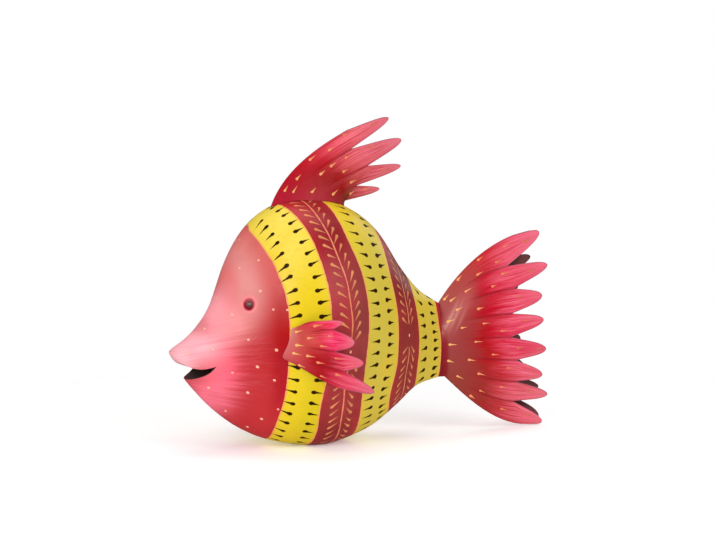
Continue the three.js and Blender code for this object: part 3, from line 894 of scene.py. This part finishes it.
def make_body():
    def along(x):
        from_nose = x - NOSE_X
        tip = TIP_RINGS[0] * np.exp(-from_nose / TIP_RINGS[1])
        return 1 + bell(x - EYE[0], *EYE_RINGS) + bell(from_nose, *NOSE_RINGS) + tip

    middle, high, _wide = section(EYE[0])
    eye_angle = math.asin((EYE[1] - middle) / high)

    def around(angle):
        spots = [math.remainder(eye_angle, math.tau), math.pi - eye_angle]
        return 1 + sum(bell(angle - spot, *EYE_SIDES) for spot in spots)

    places = places_between(NOSE_X + mm(0.4), NECK_X, BODY_RINGS, along)
    angles = places_between(-math.pi / 2, 1.5 * math.pi, BODY_SIDES + 1, around)[:-1]
    rings = punch_eyes(skin(places, angles, 0))
    stub = skin(np.array([NECK_X]), angles, FIN_SHEET + SEAM)
    rings = np.concatenate([rings, stub, stub + [STUB_LENGTH, 0, 0]])
    rings[..., 2] = np.maximum(rings[..., 2], 0)
    points, faces = loft(rings, middle_point(NOSE_X), middle_point(NECK_X) + [STUB_LENGTH, 0, 0])
    body = mesh_object("fish_body", points, faces)
    inner_places = places_between(MOUTH_FRONT_X, THROAT_X, HOLLOW_RINGS, along)
    inner = skin(inner_places, angles[::3], BODY_SHEET)
    cut(body, *loft(inner, middle_point(MOUTH_FRONT_X - mm(0.5)), middle_point(THROAT_X + mm(0.5))))
    cut(body, *prism(lip_outline(), mm(200)))
    body.name = "fish_body"
    return body


def paint_body(body):
    mesh = body.data
    soften(mesh, BODY_EDGE_ANGLE)
    faces = Faces(mesh)
    points = faces.points
    x, y, z = points.T
    middle, high, wide = section(x)
    level = np.sqrt((y / np.maximum(wide, mm(0.1))) ** 2 + ((z - middle) / high) ** 2)
    depth = (1 - level) * np.minimum(high, wide)
    mouth = np.clip(depth / BODY_SHEET, 0, 1) * (x < THROAT_X + mm(1)) * smooth(*MOUTH_SHADE, x)
    inside = np.maximum(mouth, x > NECK_X + mm(0.2))
    reach = np.linalg.norm(points[:, [0, 2]] - MOUTH_CORNER, axis=1)
    near_mouth = smooth(*STREAKS_NEAR, reach) * (1 - smooth(*STREAKS_FAR, reach))
    turn = np.arctan2(z - FAN_CENTRE[1], x - FAN_CENTRE[0])
    fan = np.stack([turn * HAIRS, reach / HAIR_LENGTH, y / HAIR_DEPTH], -1)
    streaks = STREAK_REACH * waves(turn, STREAK_WAVES) * near_mouth
    # The red holds painted highlight on the head and painted shade in the eyes' dimples
    red = ringed_eyes(points, patched(points, RED_BASE, RED_PATCHES_AND_HIGHLIGHTS, streaks))
    # The yellow holds painted light at the top and painted shade low down and towards the tail
    yellow = patched(points, YELLOW_BASE, YELLOW_PATCHES_LIGHT_AND_SHADE)
    write(mesh, "POINT", band=band_number(points), inside=inside, fan=fan, near_mouth=near_mouth,
          red=opaque(red), yellow=opaque(yellow))
    strokes = [s for side in (-1, 1) for s in tadpoles(side) + sprig_leaves(side) + head_dots(side)]
    lay_strokes(mesh, faces, strokes)
    lay_lines(mesh, faces)


# The fins
def row_shares(grids):
    """How far along the fin each row lies, from 0 at the foot to 1 at the tips, the same for all fingers."""
    walks = [walk(grid.mean(1)) for grid in grids]
    return np.mean([walked / walked[-1] for walked in walks], axis=0)


def finger_marks(grid, number, share):
    """What the paint reads at a finger's points: their place across the fin in fingers, their share of the
    way along it, and how near they are to a crease and to a free edge."""
    width = np.linalg.norm(grid[:, -1] - grid[:, 0], axis=1)[:, None]
    side_gap = np.minimum(ACROSS, 1 - ACROSS) * width
    share = share[:, None]
    in_strip = (np.arange(len(grid)) < len(grid) - LEAF_ROWS)[:, None]
    crease = np.clip(1 - side_gap / CREASE_REACH, 0, 1) * smooth(*CREASE_FROM, share)
    crease = crease * np.where(in_strip, 1, LEAF_CREASE)
    free = np.where(in_strip, FIN_LENGTH, np.minimum(side_gap, (1 - share) * FIN_LENGTH))
    edge = np.clip(1 - free / EDGE_REACH, 0, 1)
    return np.stack(np.broadcast_arrays(number + ACROSS, share, crease, edge), -1).reshape(-1, 4)


def joined(sheets, swells):
    """The grids of all sheets as one surface: its points, marks and added half thickness, and its faces."""
    points, marks, extra, quads = [], [], [], []
    start = 0
    for grids, flip in sheets:
        share = row_shares(grids)
        for number, grid in enumerate(grids):
            count = grid[..., 0].size
            ids = start + np.arange(count).reshape(grid.shape[:2])
            quad = np.stack([ids[:-1, :-1], ids[:-1, 1:], ids[1:, 1:], ids[1:, :-1]], -1).reshape(-1, 4)
            points.append(grid.reshape(-1, 3))
            marks.append(finger_marks(grid, number, share))
            extra.append(np.zeros(count) if swells is None else swells[number].ravel())
            quads.append(quad[:, ::-1] if flip else quad)
            start += count
    points, marks, extra = np.vstack(points), np.vstack(marks), np.concatenate(extra)
    rounded = np.round(points / WELD)
    _places, first, same = np.unique(rounded, axis=0, return_index=True, return_inverse=True)
    same = same.ravel()
    edge = np.ones(len(first))
    np.minimum.at(edge, same, marks[:, 3])
    points, marks, extra = points[first], marks[first], extra[first]
    marks[:, 3] = edge
    faces = [list(dict.fromkeys(quad)) for quad in same[np.vstack(quads)].tolist()]
    return points, marks, extra, [face for face in faces if len(face) > 2]


def smooth_normals(points, faces):
    corners = [(face[0], face[i], face[i + 1]) for face in faces for i in range(1, len(face) - 1)]
    a, b, c = np.array(corners).T
    spans = np.cross(points[b] - points[a], points[c] - points[a])
    normals = np.zeros_like(points)
    for ids in (a, b, c):
        np.add.at(normals, ids, spans)
    return unit(normals)


def sheet_object(name, sheets, swells, drape):
    """A thin sheet: both faces of a middle surface and a wall along its free edges. sheets holds, for each
    side, its grids and whether their faces turn over. Marks what its paint reads: a sheet with swells is
    really two joined sheets, and painted on both faces."""
    points, marks, extra, faces = joined(sheets, swells)
    offset = smooth_normals(points, faces) * (FIN_SHEET / 2 + extra)[:, None]
    places = np.vstack([points + offset, points - offset])
    finger, along, crease, edge = np.vstack([marks, marks]).T
    if drape:
        places = drape(places, along)
    count = len(points)
    edges = {(face[i - 1], face[i]) for face in faces for i in range(len(face))}
    rim = sorted((p, q) for p, q in edges if (q, p) not in edges)
    under = [[i + count for i in reversed(face)] for face in faces]
    walls = [[q, p, p + count, q + count] for p, q in rim]
    obj = mesh_object(name, places, faces + under + walls)
    mesh = obj.data
    behind = BARE if swells is None else PAINTED
    kind = np.repeat([PAINTED, behind, CUT], [len(faces), len(under), len(walls)])
    totals = read(mesh.polygons, "loop_total", 1, np.int32)
    write(mesh, "CORNER", face_kind=np.repeat(kind, totals))
    write(mesh, "POINT", finger=finger, along=along, crease=crease, edge=edge)
    soften(mesh, FIN_EDGE_ANGLE)
    return obj, finger, along


# The fins' colours from foot to tip as share, red, green and blue, for fingers by their number, and patches
# of painted light on the tail's foot, pale dabs of painted highlight with darker dabs of painted shade in
# the folds between them, as the middle and the reach along the fin and over its fingers, strength and colour
TAIL_COLORS = [
    (0.3, [(0.0, 136, 40, 50), (0.02, 140, 42, 50), (0.05, 176, 88, 82), (0.35, 180, 70, 66),
           (0.5, 208, 52, 60), (0.68, 238, 92, 116), (1.0, 236, 110, 132)]),
    (1.5, [(0.0, 140, 38, 48), (0.025, 148, 43, 47), (0.055, 170, 84, 82), (0.36, 174, 60, 62),
           (0.46, 196, 30, 48), (0.56, 212, 36, 60), (0.7, 234, 76, 102), (1.0, 234, 102, 122)]),
    (4.3, [(0.0, 140, 36, 48), (0.04, 148, 43, 47), (0.07, 162, 74, 74), (0.32, 162, 56, 56),
           (0.43, 176, 16, 34), (0.55, 200, 20, 44), (0.68, 220, 56, 86), (1.0, 224, 86, 108)]),
    (6.5, [(0.0, 132, 34, 44), (0.04, 140, 38, 44), (0.07, 154, 70, 62), (0.42, 156, 56, 50),
           (0.56, 190, 60, 64), (0.72, 218, 92, 104), (1.0, 224, 110, 122)]),
]
TAIL_HIGHLIGHTS_AND_FOLD_SHADE = [
    (0.12, 2.6, 0.09, 1.0, 0.7, 200, 118, 110), (0.25, 2.0, 0.08, 0.8, 0.6, 196, 100, 98),
    (0.055, 2.9, 0.012, 0.7, 0.5, 226, 168, 158), (0.075, 2.8, 0.010, 0.7, 0.45, 146, 60, 62),
    (0.10, 2.6, 0.013, 0.8, 0.6, 226, 168, 158), (0.125, 2.7, 0.010, 0.8, 0.45, 150, 62, 64),
    (0.15, 2.6, 0.014, 0.6, 0.55, 222, 160, 150), (0.175, 2.8, 0.010, 0.6, 0.4, 150, 60, 62),
    (0.20, 2.9, 0.013, 0.5, 0.4, 214, 146, 138),
]
# How the patches of painted highlight and shade slant across the fingers
PAINTED_LIGHT_SLANT = -0.1
DORSAL_COLORS = [
    (0.4, [(0.0, 184, 40, 60), (0.15, 180, 26, 44), (0.26, 188, 24, 42), (0.34, 206, 44, 58),
           (0.44, 236, 84, 102), (0.55, 246, 114, 126), (1.0, 224, 108, 120)]),
    (1.5, [(0.0, 186, 48, 62), (0.2, 160, 12, 26), (0.32, 168, 18, 32), (0.42, 216, 84, 88),
           (0.52, 230, 100, 108), (1.0, 230, 120, 136)]),
    (2.5, [(0.0, 172, 48, 58), (0.25, 158, 20, 30), (0.42, 198, 80, 80), (0.58, 212, 92, 98),
           (1.0, 226, 114, 124)]),
    (3.5, [(0.0, 170, 56, 64), (0.3, 112, 60, 36), (0.5, 134, 66, 46), (0.7, 200, 90, 88),
           (1.0, 216, 106, 108)]),
]
# The side fin's pale foot is partly painted highlight
SIDE_COLORS = [
    (0.5, [(0.0, 214, 136, 126), (0.15, 200, 80, 74), (0.4, 206, 70, 72), (0.6, 226, 64, 78),
           (0.78, 240, 54, 92), (1.0, 226, 108, 128)]),
    (1.5, [(0.0, 212, 116, 110), (0.2, 202, 78, 72), (0.4, 218, 88, 84), (0.52, 228, 56, 78),
           (0.66, 244, 44, 104), (0.85, 236, 84, 118), (1.0, 222, 116, 128)]),
    (2.5, [(0.0, 206, 104, 102), (0.2, 198, 76, 74), (0.36, 176, 18, 36), (0.55, 162, 6, 20),
           (0.68, 212, 54, 76), (0.82, 232, 92, 112), (1.0, 228, 104, 120)]),
    (3.5, [(0.0, 194, 84, 88), (0.2, 188, 54, 66), (0.42, 168, 12, 34), (0.58, 202, 44, 68),
           (0.74, 234, 74, 104), (1.0, 218, 112, 134)]),
]
FEATHER = 0.03
FEATHER_FROM = (0.15, 0.4)
FEATHER_WAVES = [(5.1, 0, 1), (17.3, 1, 0.8), (39.7, 2.2, 0.9)]


def fin_colors(finger, along, rows, painted_light):
    """The fin's paint: the fingers' rows of colours, laid on in feathered streaks, and patches of painted
    highlight and shade.
    """
    streaks = waves(finger, FEATHER_WAVES)
    feathered = along + FEATHER * streaks * smooth(*FEATHER_FROM, along) * (1 - along)
    place = np.interp(finger, [number for number, _stops in rows], np.arange(len(rows)))
    color = 0
    for order, (_number, stops) in enumerate(rows):
        color = color + np.clip(1 - np.abs(place - order), 0, 1)[:, None] * blended(stops, feathered)
    for centre_along, centre_finger, reach_along, reach_finger, strength, *levels in painted_light:
        over = finger - centre_finger
        away = ((along - centre_along - PAINTED_LIGHT_SLANT * over) / reach_along) ** 2 + (over / reach_finger) ** 2
        share = strength * np.exp(-away)[:, None]
        color = color * (1 - share) + screen(*levels) * share
    return color


def make_fin(name, sheets, stroke_table, colors, painted_light=(), swells=None, drape=None):
    """A fin with its paint. A fin with swells is painted on both faces, and others on their outer face."""
    obj, finger, along = sheet_object(name, sheets, swells, drape)
    painted = list(sheets)
    if swells is not None:
        painted += [(grids, not flip) for grids, flip in sheets]
    strokes = []
    for grids, flip in painted:
        strokes += fin_strokes(grids, stroke_table, -1 if flip else 1)
    write(obj.data, "POINT", paint=opaque(fin_colors(finger, along, colors, painted_light)))
    lay_strokes(obj.data, Faces(obj.data), strokes)
    return obj


def make_tail():
    sheets = [(tail_grids(-1), False), (tail_grids(1), True)]
    return make_fin("fish_tail_fin", sheets, TAIL_STROKES, TAIL_COLORS, TAIL_HIGHLIGHTS_AND_FOLD_SHADE)


def over_the_back(points, along):
    """Lowers the dorsal fin's wide foot on both sides, to follow the round of the body's back."""
    _middle, high, wide = section(points[:, 0])
    drop = high * (1 - np.sqrt(np.clip(1 - (points[:, 1] / wide) ** 2, 0, 1)))
    return points - np.stack([0 * drop, 0 * drop, drop * (1 - smooth(0, 0.3, along))], -1)


def make_dorsal():
    grids, swells = dorsal_grids()
    sheets = [(grids, False)]
    return make_fin("fish_dorsal_fin", sheets, DORSAL_STROKES, DORSAL_COLORS, (), swells, over_the_back)


def make_side_fin(name, side):
    return make_fin(name, [(side_grids(side), side > 0)], SIDE_STROKES, SIDE_COLORS)


def make_bead(name, side):
    """A glossy bead, flattened along the way out of the body and sitting in the dimple."""
    place = on_body(*EYE, side)
    out = body_normal(place)
    tangent = unit(np.cross(out, [0, 0, 1.0]))
    upward = np.cross(tangent, out)
    centre = place + out * (BEAD_HEIGHT + SEAM - DIMPLE_DEPTH)
    tilt = np.linspace(-np.pi / 2, np.pi / 2, BEAD_ROWS + 2)[1:-1, None, None]
    turn = np.linspace(0, 2 * np.pi, BEAD_SIDES, endpoint=False)[:, None]
    rings = centre + np.cos(tilt) * (np.cos(turn) * tangent + np.sin(turn) * upward) * BEAD_RADIUS
    rings = rings + np.sin(tilt) * out * BEAD_HEIGHT
    points, faces = loft(rings, centre - out * BEAD_HEIGHT, centre + out * BEAD_HEIGHT)
    bead = mesh_object(name, points, [face[::-1] for face in faces])
    bead.data.shade_smooth()
    return bead


# Materials
# Patterns of noise as their scale, detail and roughness, and the values between which grain is seen
BODY_CLOUD = (22, 3)
BODY_GRAIN = (160, 3)
HAIR_NOISE = (1.0, 4, 0.6)
FIN_CLOUD = (26, 3)
FIN_GRAIN = (180, 3)
BROAD_NOISE = (1.0, 3, 0.5)
THIN_NOISE = (1.0, 4, 0.6)
GRAIN_SEEN = (0.3, 0.8)

# The strands of paint on a fin: how many there are to a finger, how much they change along it, and a shift
BROAD_STRANDS = (7.0, 3.0, 0.3)
THIN_STRANDS = (21.0, 3.0, 4.7)

# Veils of paint, which are clear at one value of their pattern and full at another, with their strength,
# red, green and blue
RED_CLOUDS = [(0.45, 0.75, 0.16, 232, 92, 96), (0.5, 0.25, 0.16, 160, 40, 52)]
RED_STREAKS = [(0.5, 0.75, 0.15, 255, 166, 180), (0.5, 0.28, 0.3, 228, 66, 84)]
YELLOW_CLOUDS = [(0.45, 0.75, 0.4, 240, 194, 30)]
YELLOW_GRAIN = [(0.5, 0.75, 0.25, 204, 182, 48)]
BODY_INSIDE = [(0.1, 0.7, 1, 150, 128, 124)]
FIN_CLOUDS = [(0.5, 0.8, 0.1, 172, 56, 66)]
FIN_LIT = [(0.46, 0.66, 0.5, 246, 116, 142)]
FIN_PALE = [(0.52, 0.72, 0.5, 248, 150, 166)]
FIN_DEEP = [(0.52, 0.34, 0.8, 186, 24, 46)]
FIN_EDGES = [(0.2, 0.9, 0.7, 132, 92, 104)]

# Where along a fin the lit, the pale and the deep strands begin, and where the deep ones end
LIT_FROM = (0.4, 0.75)
PALE_FROM = (0.4, 0.8)
DEEP_FROM = (0.2, 0.45)
DEEP_UNTIL = (0.97, 0.65)

# Painted shade along the creases between the fingers: its colour and how strongly it is laid on
CREASE_COLOR = screen(146, 18, 36)
CREASE_SHADE = 0.75

# Pairs of colours that a pattern mixes, and the values between which it does
BARE_METAL = [screen(104, 62, 62), screen(140, 88, 86)]
BARE_MIXED = (0.35, 0.7)
CUT_EDGE = [screen(110, 20, 34), screen(138, 106, 112)]
CUT_EDGE_MIXED = (0.02, 0.1)
BEAD_COLORS = [screen(70, 52, 44), screen(112, 90, 80)]
BEAD_CLOUD = 500
PAPER_COLORS = [screen(250, 250, 250), screen(247, 247, 247)]
PAPER_CLOUD = 3

# How the edge of a line between two bands is blurred, in half line widths, and by how much grain moves it
LINE_BLUR = (1.2, 0.8)
LINE_GRAIN = (-0.25, 0.5)

# How rough the paint is where grain is least and most seen, how much rougher the body's inside is, and how
# strongly the paint shines
BODY_ROUGHNESS = (0.3, 0.42)
FIN_ROUGHNESS = (0.3, 0.45)
INSIDE_ROUGHER = (0.2, 0.8, 0, 0.4)
BODY_SPECULAR = 0.2
STROKE_SPECULAR = 0.04
FIN_SPECULAR = 0.15

# How much each pattern raises the paint
PAINT_RAISED = 0.5
GRAIN_RAISED = 0.25
STRANDS_RAISED = 0.5
CLOUD_RAISED = 0.8


class Nodes:
    """The nodes of a material or of the world. Most methods add a node and give back its output."""

    def __init__(self, owner):
        owner.use_nodes = True
        self.owner = owner
        self.tree = owner.node_tree

    def feed(self, socket, value):
        if isinstance(value, bpy.types.NodeSocket):
            self.tree.links.new(value, socket)
        elif isinstance(value, np.ndarray):
            socket.default_value = (*value, 1)
        else:
            socket.default_value = value

    def node(self, kind, *values, **settings):
        """A new node with its settings, and with values for its first inputs."""
        made = self.tree.nodes.new("ShaderNode" + kind)
        for key, value in settings.items():
            setattr(made, key, value)
        for socket, value in zip(made.inputs, values):
            self.feed(socket, value)
        return made

    def math(self, operation, *values):
        return self.node("Math", *values, operation=operation).outputs[0]

    def times(self, *values):
        return reduce(partial(self.math, "MULTIPLY"), values)

    def plus(self, *values):
        return reduce(partial(self.math, "ADD"), values)

    def mix(self, share, first, second):
        made = self.node("Mix", share, data_type="RGBA")
        self.feed(made.inputs[6], first)
        self.feed(made.inputs[7], second)
        return made.outputs[2]

    def step(self, value, low, high, to_low=0.0, to_high=1.0):
        made = self.node("MapRange", value, low, high, to_low, to_high, interpolation_type="SMOOTHSTEP")
        return made.outputs[0]

    def veiled(self, color, pattern, veils, where=1.0):
        """A colour with veils of paint over it that follow a pattern, as strong as where says."""
        for low, high, strength, *levels in veils:
            share = self.times(self.step(pattern, low, high, 0, strength), where)
            color = self.mix(share, color, screen(*levels))
        return color

    def number(self, name):
        return self.node("Attribute", attribute_name=name).outputs["Fac"]

    def vector(self, name):
        return self.node("Attribute", attribute_name=name).outputs["Vector"]

    def color(self, name):
        return self.node("Attribute", attribute_name=name).outputs["Color"]

    def place(self):
        return self.node("TexCoord").outputs["Object"]

    def noise(self, vector, scale, detail=2.0, roughness=0.5):
        made = self.node("TexNoise", vector)
        for name, value in (("Scale", scale), ("Detail", detail), ("Roughness", roughness)):
            self.feed(made.inputs[name], value)
        return made.outputs["Fac"]

    def stroke(self):
        """1 on a painted stroke: a round head with a tail that tapers to a point."""
        along, across, length = self.node("SeparateXYZ", self.vector("stroke")).outputs
        wobble = self.noise(self.place(), WOBBLE_SCALE)
        across = self.plus(across, self.math("MULTIPLY_ADD", wobble, WOBBLE, -WOBBLE / 2))
        longer = self.times(along, HEAD_SQUEEZE)
        around = self.plus(self.times(longer, longer), self.times(across, across))
        head = self.math("SUBTRACT", self.math("SQRT", around), 1.0)
        taper = self.math("SUBTRACT", 1.0, self.math("DIVIDE", along, length))
        half_width = self.times(taper, self.number("fullness"))
        tail = self.math("SUBTRACT", self.math("ABSOLUTE", across), half_width)
        tail = self.math("MAXIMUM", tail, self.times(along, -1.0))
        shape = self.math("SMOOTH_MIN", head, tail, NECK_ROUND)
        return self.step(shape, STROKE_EDGE, -STROKE_EDGE)

    def bump(self, height):
        made = self.node("Bump")
        made.inputs["Distance"].default_value = BUMP
        self.feed(made.inputs["Height"], height)
        return made.outputs[0]

    def shade(self, **inputs):
        """Feeds the surface's inputs, with _ for each space in a name, and gives back the material."""
        surface = self.tree.nodes["Principled BSDF"]
        for name, value in inputs.items():
            self.feed(surface.inputs[name.replace("_", " ")], value)
        return self.owner


def new_paint(name):
    return Nodes(bpy.data.materials.new(name))


def body_paint():
    paint = new_paint("body_paint")
    place = paint.place()
    cloud = paint.noise(place, *BODY_CLOUD)
    grain = paint.noise(place, *BODY_GRAIN)
    hair = paint.noise(paint.vector("fan"), *HAIR_NOISE)
    red = paint.veiled(paint.color("red"), cloud, RED_CLOUDS)
    red = paint.veiled(red, hair, RED_STREAKS, paint.number("near_mouth"))
    yellow = paint.veiled(paint.color("yellow"), cloud, YELLOW_CLOUDS)
    yellow = paint.veiled(yellow, grain, YELLOW_GRAIN)

    band = paint.math("FLOORED_MODULO", paint.number("band"), 2.0)
    color = paint.mix(paint.math("GREATER_THAN", band, 1.0), red, yellow)
    from_line = paint.math("ABSOLUTE", paint.number("line"))
    from_line = paint.plus(from_line, paint.step(grain, *GRAIN_SEEN, *LINE_GRAIN))
    line = paint.step(from_line, *LINE_BLUR)
    color = paint.mix(line, color, paint.color("line_color"))
    stroke = paint.stroke()
    color = paint.mix(stroke, color, paint.color("stroke_color"))
    inside = paint.number("inside")
    color = paint.veiled(color, inside, BODY_INSIDE)

    roughness = paint.step(grain, *GRAIN_SEEN, *BODY_ROUGHNESS)
    roughness = paint.plus(roughness, paint.step(inside, *INSIDE_ROUGHER))
    raised = paint.times(paint.math("MAXIMUM", stroke, line), PAINT_RAISED)
    normal = paint.bump(paint.plus(cloud, paint.times(grain, GRAIN_RAISED), raised))
    specular = paint.math("MULTIPLY_ADD", stroke, STROKE_SPECULAR - BODY_SPECULAR, BODY_SPECULAR)
    return paint.shade(Base_Color=color, Roughness=roughness, Normal=normal, Specular_IOR_Level=specular)


def fin_paint():
    paint = new_paint("fin_paint")
    place = paint.place()
    cloud = paint.noise(place, *FIN_CLOUD)
    grain = paint.noise(place, *FIN_GRAIN)
    finger, along = paint.number("finger"), paint.number("along")

    def strands(count, pace, shift):
        drawn = paint.node("CombineXYZ", paint.times(finger, count), paint.times(along, pace), shift)
        return drawn.outputs[0]

    broad = paint.noise(strands(*BROAD_STRANDS), *BROAD_NOISE)
    thin = paint.noise(strands(*THIN_STRANDS), *THIN_NOISE)
    color = paint.veiled(paint.color("paint"), cloud, FIN_CLOUDS)
    color = paint.veiled(color, broad, FIN_LIT, paint.step(along, *LIT_FROM))
    color = paint.veiled(color, thin, FIN_PALE, paint.step(along, *PALE_FROM))
    middle = paint.times(paint.step(along, *DEEP_FROM), paint.step(along, *DEEP_UNTIL))
    color = paint.veiled(color, thin, FIN_DEEP, middle)
    # Painted shade along the creases
    color = paint.mix(paint.times(paint.number("crease"), CREASE_SHADE), color, CREASE_COLOR)
    stroke = paint.stroke()
    color = paint.mix(stroke, color, paint.color("stroke_color"))
    color = paint.veiled(color, paint.number("edge"), FIN_EDGES)

    kind = paint.number("face_kind")
    bare = paint.mix(paint.step(cloud, *BARE_MIXED), *BARE_METAL)
    color = paint.mix(paint.math("GREATER_THAN", kind, BARE - 0.5), color, bare)
    rim = paint.mix(paint.step(along, *CUT_EDGE_MIXED), *CUT_EDGE)
    color = paint.mix(paint.math("GREATER_THAN", kind, CUT - 0.5), color, rim)
    raised = paint.plus(paint.times(thin, STRANDS_RAISED), paint.times(cloud, CLOUD_RAISED))
    normal = paint.bump(paint.plus(raised, paint.times(stroke, PAINT_RAISED)))
    roughness = paint.step(grain, *GRAIN_SEEN, *FIN_ROUGHNESS)
    return paint.shade(Base_Color=color, Roughness=roughness, Normal=normal, Specular_IOR_Level=FIN_SPECULAR)


def bead_paint():
    paint = new_paint("bead_gloss")
    color = paint.mix(paint.noise(paint.place(), BEAD_CLOUD), *BEAD_COLORS)
    return paint.shade(Base_Color=color, Roughness=0.35, Coat_Weight=1.0, Coat_Roughness=0.13)


# The stage: a pale floor, soft lights and the camera
CAMERA_TURN = 26
CAMERA_RISE = 4.5
CAMERA_DISTANCE = mm(2200)
CAMERA_TARGET = mm([-8.6, 0, 190.9])
SENSOR_WIDTH = 36
LENS = 98.76
FLOOR_RADIUS = 8
FLOOR_SIDES = 96
FLOOR_FADE = (0.25, 0.8)

# How strongly the white surroundings light the fish, and how much less of them its gloss shows
SKY_LIGHT = 0.36
SKY_DIMMED = 0.24

# Lights as their name, their direction and distance from the target, width, height and power
LIGHTS = [
    ("key_left", (-0.86, -0.50, 0.35), 1.5, 0.7, 1.2, 4),
    ("highlight", (-0.70, -0.62, 0.36), 1.5, 0.35, 0.45, 6),
    ("front_right", (0.45, -0.85, 0.45), 1.8, 1.2, 0.8, 11),
    ("top", (0.1, 0.1, 1), 1.6, 1.6, 1.0, 9),
    ("rear_right", (0.9, 0.35, 0.4), 1.8, 0.8, 1.2, 4),
    ("rear_left", (-0.9, 0.4, 0.25), 1.6, 0.8, 1.2, 3),
]


def make_floor():
    turn = np.linspace(0, 2 * np.pi, FLOOR_SIDES, endpoint=False)
    rim = np.stack([np.cos(turn), np.sin(turn), 0 * turn], -1) * FLOOR_RADIUS
    floor = mesh_object("studio_floor", rim, [list(range(len(rim)))])
    paint = new_paint("floor_paper")
    paper = paint.mix(paint.noise(paint.place(), PAPER_CLOUD), *PAPER_COLORS)
    paint.shade(Base_Color=paper, Roughness=0.9, Emission_Color=(1, 1, 1, 1), Emission_Strength=0.25)
    away = paint.node("VectorMath", paint.place(), operation="LENGTH").outputs["Value"]
    surface = paint.tree.nodes["Principled BSDF"].outputs[0]
    clear = paint.node("BsdfTransparent").outputs[0]
    blend = paint.node("MixShader", paint.step(away, *FLOOR_FADE), surface, clear)
    paint.feed(paint.tree.nodes["Material Output"].inputs[0], blend.outputs[0])
    floor.data.materials.append(paint.owner)
    floor.visible_glossy = False


def aim(obj, place, target):
    obj.location = place
    obj.rotation_euler = (Vector(target) - Vector(place)).to_track_quat("-Z", "Y").to_euler()


def soft_light(name, direction, distance, width, height, power):
    light = bpy.data.lights.new(name, "AREA")
    light.shape = "RECTANGLE"
    light.size = width
    light.size_y = height
    light.energy = power
    obj = bpy.data.objects.new(name, light)
    bpy.context.scene.collection.objects.link(obj)
    aim(obj, CAMERA_TARGET + unit(np.array(direction, float)) * distance, CAMERA_TARGET)


def make_sky():
    sky = Nodes(bpy.data.worlds.new("studio"))
    seen = sky.node("LightPath").outputs
    strength = sky.step(seen["Is Camera Ray"], 0, 1, SKY_LIGHT, 1)
    strength = sky.math("MULTIPLY_ADD", seen["Is Glossy Ray"], -SKY_DIMMED, strength)
    background = sky.tree.nodes["Background"]
    background.inputs[0].default_value = (1, 1, 1, 1)
    sky.feed(background.inputs[1], strength)
    bpy.context.scene.world = sky.owner
    bpy.context.scene.view_settings.view_transform = "Standard"


def make_camera():
    turn, rise = math.radians(CAMERA_TURN), math.radians(CAMERA_RISE)
    back = np.array([-math.sin(turn) * math.cos(rise), -math.cos(turn) * math.cos(rise), math.sin(rise)])
    data = bpy.data.cameras.new("camera")
    data.sensor_width = SENSOR_WIDTH
    data.lens = LENS
    camera = bpy.data.objects.new("camera", data)
    bpy.context.scene.collection.objects.link(camera)
    aim(camera, CAMERA_TARGET + back * CAMERA_DISTANCE, CAMERA_TARGET)
    bpy.context.scene.camera = camera


def stand_for(obj, node, material):
    """The piece takes its CAD node's place, with its paint."""
    obj.data.materials.clear()
    obj.data.materials.append(material)
    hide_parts(node)
    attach(obj, "root")


def main():
    body = make_body()
    paint_body(body)
    stand_for(body, "body", body_paint())
    fins = fin_paint()
    stand_for(make_tail(), "tail_fin", fins)
    stand_for(make_dorsal(), "dorsal_fin", fins)
    sides = (("left", -1), ("right", 1))
    for word, side in sides:
        stand_for(make_side_fin("fish_side_fin_" + word, side), "side_fin_" + word, fins)
    beads = bead_paint()
    for word, side in sides:
        stand_for(make_bead("fish_eye_" + word, side), "eye_" + word, beads)
    make_floor()
    for light in LIGHTS:
        soft_light(*light)
    make_sky()
    make_camera()


main()
